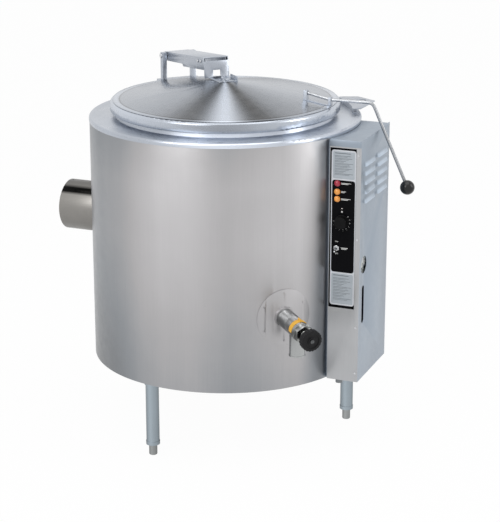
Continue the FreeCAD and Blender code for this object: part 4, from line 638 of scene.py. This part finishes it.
# Painted shade on the flue's lower side and along its top, and a painted dark reflection band just under the
# top
FLUE_PAINTED_SHADE = ((0.60, 0.70, -0.35, 0.0), (0.728, 0.745, 0.0, -0.5))
FLUE_PAINTED_REFLECTION = (("z", 0.727, 0.0085, -1.0),)
# Bluish tint that the casing's darker-toned parts take, most of it over the painted shade
CASING_SHADE_TINT = ((0.425, 0.447, 0.475), 0.62, 0.95)
# Painted highlight along the pressed louvres of the console side
LOUVER_PAINTED_HIGHLIGHT = (LOUVER_WAY, 0.5032, 0.003, 0.6)

# Metal whose tone goes in patches: colour, darker colour, roughness, metallic, scale, share, bump
WORN_METALS = {
    "dark_trim": ("dark_trim", (0.13, 0.135, 0.14), (0.07, 0.07, 0.075), 0.35, 1.0, 90.0, 0.4, 0.04),
    "rod": ("lever_steel", (0.40, 0.41, 0.425), (0.28, 0.29, 0.31), 0.24, 1.0, 90.0, 0.4, 0.04),
    "trim": ("bright_trim", (0.66, 0.67, 0.69), (0.42, 0.43, 0.45), 0.20, 1.0, 90.0, 0.4, 0.04),
    "frame": ("mill_plate", (0.20, 0.20, 0.21), (0.09, 0.085, 0.08), 0.50, 0.8, 30.0, 0.8, 0.2),
    "iron": ("burner_iron", (0.05, 0.05, 0.052), (0.10, 0.06, 0.04), 0.65, 0.6, 50.0, 0.7, 0.4),
    "pipe": ("black_pipe", (0.04, 0.04, 0.043), (0.02, 0.02, 0.02), 0.50, 0.4, 60.0, 0.7, 0.3),
    "brass": ("turned_brass", (0.55, 0.40, 0.16), (0.34, 0.22, 0.09), 0.34, 1.0, 70.0, 0.6, 0.1),
    "label": ("label_plate", (0.66, 0.68, 0.72), (0.58, 0.60, 0.64), 0.42, 0.2, 40.0, 0.6, 0.03),
    "field": ("label_field", (0.44, 0.48, 0.52), (0.38, 0.42, 0.46), 0.45, 0.2, 60.0, 0.6, 0.03),
}

# Plastics and inks: colour, roughness, coat, grain, wear, and the shine where it isn't the usual one
PLASTICS = {
    "panel": ("panel_black", (0.003, 0.003, 0.004), 0.50, 0.0, 0.04, (0.003, 0.003, 0.003), 0.05),
    "module": ("module_case", (0.03, 0.03, 0.035), 0.6, 0.0, 0.3, (0.05, 0.05, 0.052)),
    "red": ("lamp_red", (0.40, 0.012, 0.04), 0.25, 0.5, 0.02, (0.1, 0.03, 0.03)),
    "amber": ("lamp_amber", (0.92, 0.36, 0.05), 0.25, 0.7, 0.02, (0.05, 0.12, 0.06)),
    "dial": ("dial_white", (0.72, 0.72, 0.70), 0.45, 0.0, 0.03, (0.05, 0.05, 0.04)),
    "ink_white": ("ink_white", (0.78, 0.78, 0.76), 0.55, 0.0, 0.03, (0.05, 0.05, 0.05)),
    "ink_dark": ("ink_dark", (0.05, 0.05, 0.055), 0.55, 0.0, 0.03, (0.05, 0.05, 0.05)),
    "ink_grey": ("ink_grey", (0.17, 0.19, 0.21), 0.55, 0.0, 0.03, (0.05, 0.05, 0.05)),
}

FINISHES = {}


def scaled_colour(colour, factor):
    return tuple(part * factor for part in colour)


def make_finishes(settings):
    casing = tuple(settings.casing_colour)
    cover = tuple(settings.cover_colour)
    dark = tuple(settings.dark_colour)
    FINISHES.update({
        "casing": brushed("casing_steel", casing, 0.34, "up", 1400.0, 5.0, 0.05, 0.03, 0.03, broad=0.05,
                          lobes=CASING_PAINTED_LIGHT, drifts=CASING_PAINTED_SHADE, cool=CASING_SHADE_TINT),
        "deck": brushed("deck_steel", cover, 0.30, "around", 1200.0, 6.0, 0.05, 0.03, 0.04, stretch=0.6,
                        lobes=DECK_PAINTED_LIGHT),
        "vessel": brushed("vessel_steel", scaled_colour(cover, 1.08), 0.24, "around", 1000.0, 6.0,
                          0.06, 0.03, 0.03, lobes=RIM_PAINTED_LIGHT),
        # The cover steel is set darker than the deck steel as painted shade, which its painted highlights
        # lift in the wedge
        "cover": brushed("cover_steel", scaled_colour(cover, 0.78), 0.25, "radial", 200.0, 2.0,
                         0.03, 0.005, 0.03, broad=0.03, stretch=0.75, lobes=COVER_PAINTED_LIGHT, bands=COVER_EDGE_PAINTED_LIGHT),
        # The console's side steel is set darker and bluer than the front steel of the same metal, a painted
        # shade on the sides
        "side": brushed("console_steel", (0.325, 0.375, 0.435), 0.36, "z", 1300.0, 8.0, 0.05, 0.03, 0.03,
                        raised=LOUVER_PAINTED_HIGHLIGHT),
        "front": brushed("front_steel", (0.455, 0.462, 0.475), 0.40, "z", 1300.0, 8.0, 0.06, 0.03, 0.03),
        "plate": brushed("plate_steel", cover, 0.30, "y", 1100.0, 14.0, 0.08, 0.04, 0.04),
        "stub": brushed("inlet_steel", (0.20, 0.21, 0.22), 0.35, "z", 1500.0, 9.0, 0.08, 0.04, 0.05),
        "draw": brushed("draw_off_steel", (0.40, 0.41, 0.41), 0.18, "y", 1300.0, 12.0, 0.07, 0.02, 0.05,
                        lobes=TUBE_PAINTED_LIGHT, about=DRAW_AXIS),
        "bonnet": brushed("bonnet_steel", (0.46, 0.47, 0.46), 0.16, "y", 1300.0, 12.0, 0.10, 0.03, 0.20,
                          lobes=TUBE_PAINTED_LIGHT, about=DRAW_AXIS),
        "chamber": brushed("chamber_steel", (0.22, 0.21, 0.20), 0.45, "around", 700.0, 9.0,
                           0.12, 0.05, 0.12),
        "flue": brushed("flue_steel", (0.29, 0.28, 0.265), 0.36, "z", 900.0, 9.0, 0.08, 0.04, 0.08,
                        drifts=FLUE_PAINTED_SHADE, bands=FLUE_PAINTED_REFLECTION),
        "handle": moulded("handle_plastic", dark, 0.42, 0.0, 0.2, (0.02, 0.022, 0.022), 0.22),
        "ball": moulded("ball_plastic", dark, 0.16, 0.0, 0.03, (0.016, 0.010, 0.010), 0.40),
        "knob": moulded("knob_plastic", scaled_colour(dark, 0.5), 0.40, 0.0, 0.08, (0.01, 0.01, 0.01), 0.12),
        "tag": moulded("band_amber", tuple(settings.tag_colour), 0.5, 0.0, 0.1, (0.1, 0.08, 0.05)),
        "glass": clear("clear_glass", (0.93, 0.97, 0.97)),
        "wool": woollen("mineral_wool", (0.55, 0.49, 0.33)),
    })
    for key, values in WORN_METALS.items():
        FINISHES[key] = worn_metal(*values)
    for key, values in PLASTICS.items():
        FINISHES[key] = moulded(*values)


def dress_all(pairs, width):
    for node, finish in pairs:
        dress(node, FINISHES[finish], width)


# Operators

class KETTLE_OT_outer_body(bpy.types.Operator):
    """Finishes the casing, deck, base frame and flue"""

    bl_idname = "kettle.outer_body"
    bl_label = "Outer Body"

    def execute(self, context):
        settings = context.scene.kettle_finish
        make_finishes(settings)
        dress_all((("casing_shell", "casing"), ("top_deck", "deck"), ("base_frame", "frame"),
                   ("flue_collar", "flue")), settings.sheet_round)
        return {"FINISHED"}


class KETTLE_OT_vessel(bpy.types.Operator):
    """Finishes the liner, the steam jacket, the fire chamber and the insulation"""

    bl_idname = "kettle.vessel"
    bl_label = "Vessel"

    def execute(self, context):
        settings = context.scene.kettle_finish
        dress_all((("kettle_liner", "vessel"), ("jacket_shell", "chamber"), ("combustion_chamber", "chamber"),
                   ("outlet_strainer", "vessel")), settings.sheet_round)
        dress("insulation_wrap", FINISHES["wool"])
        return {"FINISHED"}


class KETTLE_OT_heating(bpy.types.Operator):
    """Finishes the burner, its pipes and the gas valve"""

    bl_idname = "kettle.heating"
    bl_label = "Heating"

    def execute(self, context):
        settings = context.scene.kettle_finish
        dress_all((("burner_tubes", "iron"), ("gas_manifold", "pipe"), ("gas_inlet_pipe", "stub"),
                   ("gas_valve_body", "brass"), ("gas_valve_knob", "knob"), ("ignition_module", "module")),
                  settings.edge_round)
        return {"FINISHED"}


class KETTLE_OT_draw_off(bpy.types.Operator):
    """Finishes the draw-off valve and its handwheel"""

    bl_idname = "kettle.draw_off"
    bl_label = "Draw-off"

    def execute(self, context):
        settings = context.scene.kettle_finish
        dress_all((("draw_off_tube", "draw"), ("tag_band", "tag")), settings.sheet_round)
        dress("draw_off_escutcheon", FINISHES["casing"], settings.sheet_round)
        dress_all((("valve_body", "draw"), ("valve_bonnet", "bonnet"), ("valve_stem", "draw"),
                   ("handwheel_screw", "dark_trim")), settings.edge_round)
        dress("handwheel", FINISHES["handle"], HANDWHEEL_ROUND, 3)
        return {"FINISHED"}


class KETTLE_OT_stand(bpy.types.Operator):
    """Finishes the legs and their levelling feet"""

    bl_idname = "kettle.stand"
    bl_label = "Stand"

    def execute(self, context):
        settings = context.scene.kettle_finish
        for side, azimuth in LEG_AZIMUTHS.items():
            angle = math.radians(azimuth)
            point = (LEG_CIRCLE_R * math.sin(angle), -LEG_CIRCLE_R * math.cos(angle), 0.0)
            about = (point,) + KETTLE_AXIS[1:]
            for piece, colour, roughness, cloud in (("leg", (0.29, 0.335, 0.37), 0.32, 0.05),
                                                    ("foot", (0.27, 0.28, 0.28), 0.30, 0.10)):
                steel = brushed(piece + "_steel_" + side, colour, roughness, "z", 1500.0, 9.0,
                                0.08, 0.04, cloud, lobes=LEG_PAINTED_LIGHT, about=about)
                dress(piece + "_" + side, steel, settings.sheet_round)
        return {"FINISHED"}


class KETTLE_OT_cover(bpy.types.Operator):
    """Finishes the cover, its arm and hinge, and the lever with its ball"""

    bl_idname = "kettle.cover"
    bl_label = "Cover"

    def execute(self, context):
        settings = context.scene.kettle_finish
        dress("cover_shell", FINISHES["cover"], settings.sheet_round)
        dress_all((("cover_arm", "plate"), ("arm_inner_channel", "plate"), ("cover_clamp_bracket", "plate"),
                   ("hinge_bracket", "plate"), ("lever_mounts", "plate"), ("arm_bolts", "trim"),
                   ("hinge_pin", "trim"), ("faucet_bracket", "plate")), settings.edge_round)
        dress_all((("lever_rod", "rod"), ("lever_ball", "ball")), 0.0)
        return {"FINISHED"}


class KETTLE_OT_console(bpy.types.Operator):
    """Finishes the console's sheet metal, controls and instruments"""

    bl_idname = "kettle.console"
    bl_label = "Console"

    def execute(self, context):
        settings = context.scene.kettle_finish
        dress_all((("console_housing", "side"), ("console_front_panel", "front"), ("control_panel", "panel"),
                   ("console_back_plate", "chamber"), ("panel_screws", "trim"),
                   ("gauge_case", "dial"), ("gauge_pointer", "ink_dark")), PANEL_ROUND)
        dress_all((("thermostat_body", "module"), ("thermostat_knob", "knob"), ("switch_body", "trim"),
                   ("switch_toggle", "trim"), ("sight_glass_fittings", "brass"), ("lamp_red", "red"),
                   ("lamps_amber", "amber")), FITTING_ROUND)
        dress_all((("gauge_lens", "glass"), ("sight_glass_tube", "glass")), 0.0)
        return {"FINISHED"}


class KETTLE_OT_relief(bpy.types.Operator):
    """Finishes the relief valve at the rear"""

    bl_idname = "kettle.relief"
    bl_label = "Relief Valve"

    def execute(self, context):
        settings = context.scene.kettle_finish
        dress_all((("safety_valve_body", "brass"), ("safety_valve_lever", "trim")), settings.edge_round)
        return {"FINISHED"}


class KETTLE_OT_printing(bpy.types.Operator):
    """Adds the scales, switch words and printed rows"""

    bl_idname = "kettle.printing"
    bl_label = "Printing"

    def execute(self, context):
        settings = context.scene.kettle_print
        self.thermostat_scale(settings)
        self.switch_words()
        self.lamp_captions()
        self.overlay()
        self.label_rows(settings)
        self.gauge_scale(settings)
        return {"FINISHED"}

    def thermostat_scale(self, settings):
        parts = []
        count = settings.dial_numbers
        for index in range(count):
            angle = DIAL_START + DIAL_SWEEP * index / (count - 1)
            parts.append(ink_text(str(index + 1), DIAL_FIGURE, settings.dial_radius * math.cos(angle),
                                  settings.dial_radius * math.sin(angle)))
            parts.append(ink_bar(*DIAL_TICK, settings.dial_radius + DIAL_TICK_OUT, 0.0, angle))
        parts.append(ink_dot(2.6 * MM, 0.0, 31.0 * MM))
        parts.append(ink_bar(4.4 * MM, 2.0 * MM, 0.0, 41.0 * MM))
        printed(parts, "thermostat_scale", THERMOSTAT_PLACE, "control", FINISHES["ink_white"])

    def switch_words(self):
        parts = [ink_text("ON", SWITCH_FIGURE, 0.0, 20.3 * MM),
                 ink_text("OFF", SWITCH_FIGURE, 0.0, -17.5 * MM),
                 ink_bar(22.0 * MM, 2.2 * MM, 25.0 * MM, 1.6 * MM),
                 ink_bar(17.0 * MM, 1.6 * MM, 23.5 * MM, -2.0 * MM)]
        printed(parts, "switch_words", SWITCH_PLACE, "control", FINISHES["ink_white"])

    def lamp_captions(self):
        parts = []
        for height, wide in LAMP_ROWS:
            for rise, share in ((1.5 * MM, 1.0), (-1.5 * MM, 0.72)):
                parts.append(ink_bar(wide * share, 1.6 * MM, LAMP_ROW_START + wide * share / 2.0,
                                     height + rise))
        printed(parts, "lamp_captions", (PANEL_X, LAMP_Y, 0.0), "control", FINISHES["ink_white"])

    def overlay(self):
        """Silver overlay round the black field, with a paler border round each printed plate."""
        half = OVERLAY_WIDTH / 2.0
        upper_low, upper_high = LABEL_SPANS[0][1:]
        lower_low, lower_high = LABEL_SPANS[1][1:]
        plate = flat_plate(((-half, half, lower_low, upper_high, OVERLAY_ROUND),
                            (-half + OVERLAY_RAIL, half - OVERLAY_RAIL, lower_high, upper_low,
                             OVERLAY_ROUND)), OVERLAY_THICK)
        whole = printed([plate], "panel_overlay", (PANEL_X, LABEL_Y, 0.0), "control", FINISHES["label"])
        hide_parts("label_plates")
        across = (-half + FIELD_INSET, half - FIELD_INSET)
        fields = [flat_plate((across + (low + FIELD_INSET, high - FIELD_INSET, FIELD_INSET),), FIELD_THICK)
                  for low, high in ((upper_low, upper_high), (lower_low, lower_high))]
        printed(fields, "label_fields", (LABEL_X, LABEL_Y, 0.0), "control", FINISHES["field"])

    def label_rows(self, settings):
        full = LABEL_ROW_WIDTH
        for name, low, high in LABEL_SPANS:
            pitch = (high - low - 22.0 * MM) / settings.label_rows
            top = high - 10.0 * MM
            parts = [ink_bar(full * 0.85, 2.6 * MM, full * -0.07, top)]
            for row in range(1, settings.label_rows):
                height = top - row * pitch
                wide = full * LABEL_ROW_SHARES[row % len(LABEL_ROW_SHARES)]
                parts.append(ink_bar(wide, 1.5 * MM, (wide - full) / 2.0, height))
                parts.append(ink_bar(wide * 0.8, 1.2 * MM, (wide * 0.8 - full) / 2.0, height - pitch * 0.42))
            printed(parts, name, (LABEL_X, LABEL_Y, 0.0), "control", FINISHES["ink_grey"])

    def gauge_scale(self, settings):
        parts = []
        marks = settings.gauge_marks
        for index in range(marks):
            angle = GAUGE_START - GAUGE_SWEEP * index / (marks - 1)
            long = index % 5 == 0
            wide, length = (0.5 * MM, 3.4 * MM) if long else (0.3 * MM, 1.8 * MM)
            parts.append(ink_bar(wide, length, 0.0, GAUGE_MARK_R - length / 2.0, angle - math.pi / 2.0))
            if long:
                parts.append(ink_text(str(index * 2), GAUGE_FIGURE, GAUGE_FIGURE_R * math.cos(angle),
                                      GAUGE_FIGURE_R * math.sin(angle)))
        printed(parts, "gauge_scale", GAUGE_PLACE, "outer", FINISHES["ink_dark"])


def outward_way(azimuth, elevation):
    """Unit vector at an azimuth from the draw-off's side and an elevation."""
    return Vector((math.sin(azimuth) * math.cos(elevation), -math.cos(azimuth) * math.cos(elevation),
                   math.sin(elevation)))


def background_rays(tree, path):
    """One for rays that see the background: from the camera, or through gloss or glass."""
    direct = maths(tree, "MAXIMUM", path.outputs["Is Camera Ray"], path.outputs["Is Glossy Ray"])
    return maths(tree, "MAXIMUM", direct, path.outputs["Is Transmission Ray"])


class KETTLE_OT_stage(bpy.types.Operator):
    """Makes the floor, the lights, the surround and the camera"""

    bl_idname = "kettle.stage"
    bl_label = "Stage"

    def execute(self, context):
        settings = context.scene.kettle_stage
        self.floor(settings)
        self.lights(settings)
        self.surround(context, settings)
        self.camera(context, settings)
        context.scene.view_settings.view_transform = "Standard"
        return {"FINISHED"}

    def floor(self, settings):
        bpy.ops.object.select_all(action="DESELECT")
        bpy.ops.mesh.primitive_grid_add(x_subdivisions=4, y_subdivisions=4, size=FLOOR_SIZE,
                                        location=(0.0, 0.0, 0.0))
        floor = bpy.context.object
        floor.name = "studio_floor"
        material, tree, shader = fresh("studio_floor")
        colour = settings.floor_colour
        shader.inputs["Base Color"].default_value = (colour[0], colour[1], colour[2], 1.0)
        shader.inputs["Roughness"].default_value = 0.9
        shader.inputs["Specular IOR Level"].default_value = 0.0
        glow = add(tree, "ShaderNodeEmission", {"Color": (1.0, 1.0, 1.0, 1.0), "Strength": 1.0})
        path = add(tree, "ShaderNodeLightPath")
        seen = maths(tree, "MULTIPLY", background_rays(tree, path), FLOOR_SHOWN)
        blend = add(tree, "ShaderNodeMixShader", {0: seen, 1: shader.outputs["BSDF"],
                                                  2: glow.outputs["Emission"]})
        output = next(node for node in tree.nodes if node.type == "OUTPUT_MATERIAL")
        tree.links.new(blend.outputs["Shader"], output.inputs["Surface"])
        paint(floor, material)

    def lights(self, settings):
        for name, azimuth, elevation, distance, size, size_y, power in LIGHTS:
            data = bpy.data.lights.new(name, "AREA")
            data.shape = "RECTANGLE"
            data.size = size
            data.size_y = size_y
            data.energy = getattr(settings, power)
            light = bpy.data.objects.new(name, data)
            bpy.context.scene.collection.objects.link(light)
            away = outward_way(math.radians(azimuth), math.radians(elevation))
            light.location = LIGHT_AIM + away * distance
            light.rotation_euler = away.to_track_quat("Z", "Y").to_euler()

    def surround(self, context, settings):
        world = context.scene.world or bpy.data.worlds.new("studio")
        context.scene.world = world
        world.use_nodes = True
        tree = world.node_tree
        tree.nodes.clear()
        output = tree.nodes.new("ShaderNodeOutputWorld")
        level = settings.surround
        soft = add(tree, "ShaderNodeBackground", {"Color": (0.98, 0.99, 1.0, 1.0), "Strength": level})
        white = add(tree, "ShaderNodeBackground", {"Color": (1.0, 1.0, 1.0, 1.0), "Strength": 1.0})
        path = add(tree, "ShaderNodeLightPath")
        blend = add(tree, "ShaderNodeMixShader", {0: background_rays(tree, path),
                                                  1: soft.outputs[0], 2: white.outputs[0]})
        tree.links.new(blend.outputs["Shader"], output.inputs["Surface"])

    def camera(self, context, settings):
        data = bpy.data.cameras.new("photo_camera")
        camera = bpy.data.objects.new("photo_camera", data)
        context.scene.collection.objects.link(camera)
        data.lens = settings.lens
        data.sensor_width = SENSOR_WIDTH
        away = outward_way(settings.azimuth, settings.elevation)
        right = Vector((math.cos(settings.azimuth), math.sin(settings.azimuth), 0.0))
        up = away.cross(right)
        aim = CAMERA_AIM + right * AIM_RIGHT + up * AIM_UP
        camera.location = aim + away * settings.distance
        camera.rotation_mode = "QUATERNION"
        camera.rotation_quaternion = away.to_track_quat("Z", "Y")
        data.clip_end = CLIP_END
        context.scene.camera = camera


OPERATORS = (KETTLE_OT_outer_body, KETTLE_OT_vessel, KETTLE_OT_heating, KETTLE_OT_draw_off, KETTLE_OT_stand,
             KETTLE_OT_cover, KETTLE_OT_console, KETTLE_OT_relief, KETTLE_OT_printing, KETTLE_OT_stage)


class KETTLE_PT_panel(bpy.types.Panel):
    """Lists the kettle's settings and steps"""

    bl_idname = "KETTLE_PT_panel"
    bl_label = "Steam Kettle"
    bl_space_type = "VIEW_3D"
    bl_region_type = "UI"
    bl_category = "Kettle"

    def draw(self, context):
        layout = self.layout
        for group in (context.scene.kettle_finish, context.scene.kettle_print, context.scene.kettle_stage):
            box = layout.box()
            for key in group.__annotations__:
                box.prop(group, key)
        for operator in OPERATORS:
            layout.operator(operator.bl_idname)


CLASSES = (KettleFinishSettings, KettlePrintSettings, KettleStageSettings) + OPERATORS + (KETTLE_PT_panel,)


def register():
    for item in CLASSES:
        bpy.utils.register_class(item)
    bpy.types.Scene.kettle_finish = PointerProperty(type=KettleFinishSettings)
    bpy.types.Scene.kettle_print = PointerProperty(type=KettlePrintSettings)
    bpy.types.Scene.kettle_stage = PointerProperty(type=KettleStageSettings)


def unregister():
    del bpy.types.Scene.kettle_stage
    del bpy.types.Scene.kettle_print
    del bpy.types.Scene.kettle_finish
    for item in reversed(CLASSES):
        bpy.utils.unregister_class(item)


def main():
    register()
    bpy.ops.kettle.outer_body()
    bpy.ops.kettle.vessel()
    bpy.ops.kettle.heating()
    bpy.ops.kettle.draw_off()
    bpy.ops.kettle.stand()
    bpy.ops.kettle.cover()
    bpy.ops.kettle.console()
    bpy.ops.kettle.relief()
    bpy.ops.kettle.printing()
    bpy.ops.kettle.stage()


if __name__ == "__main__":
    main()
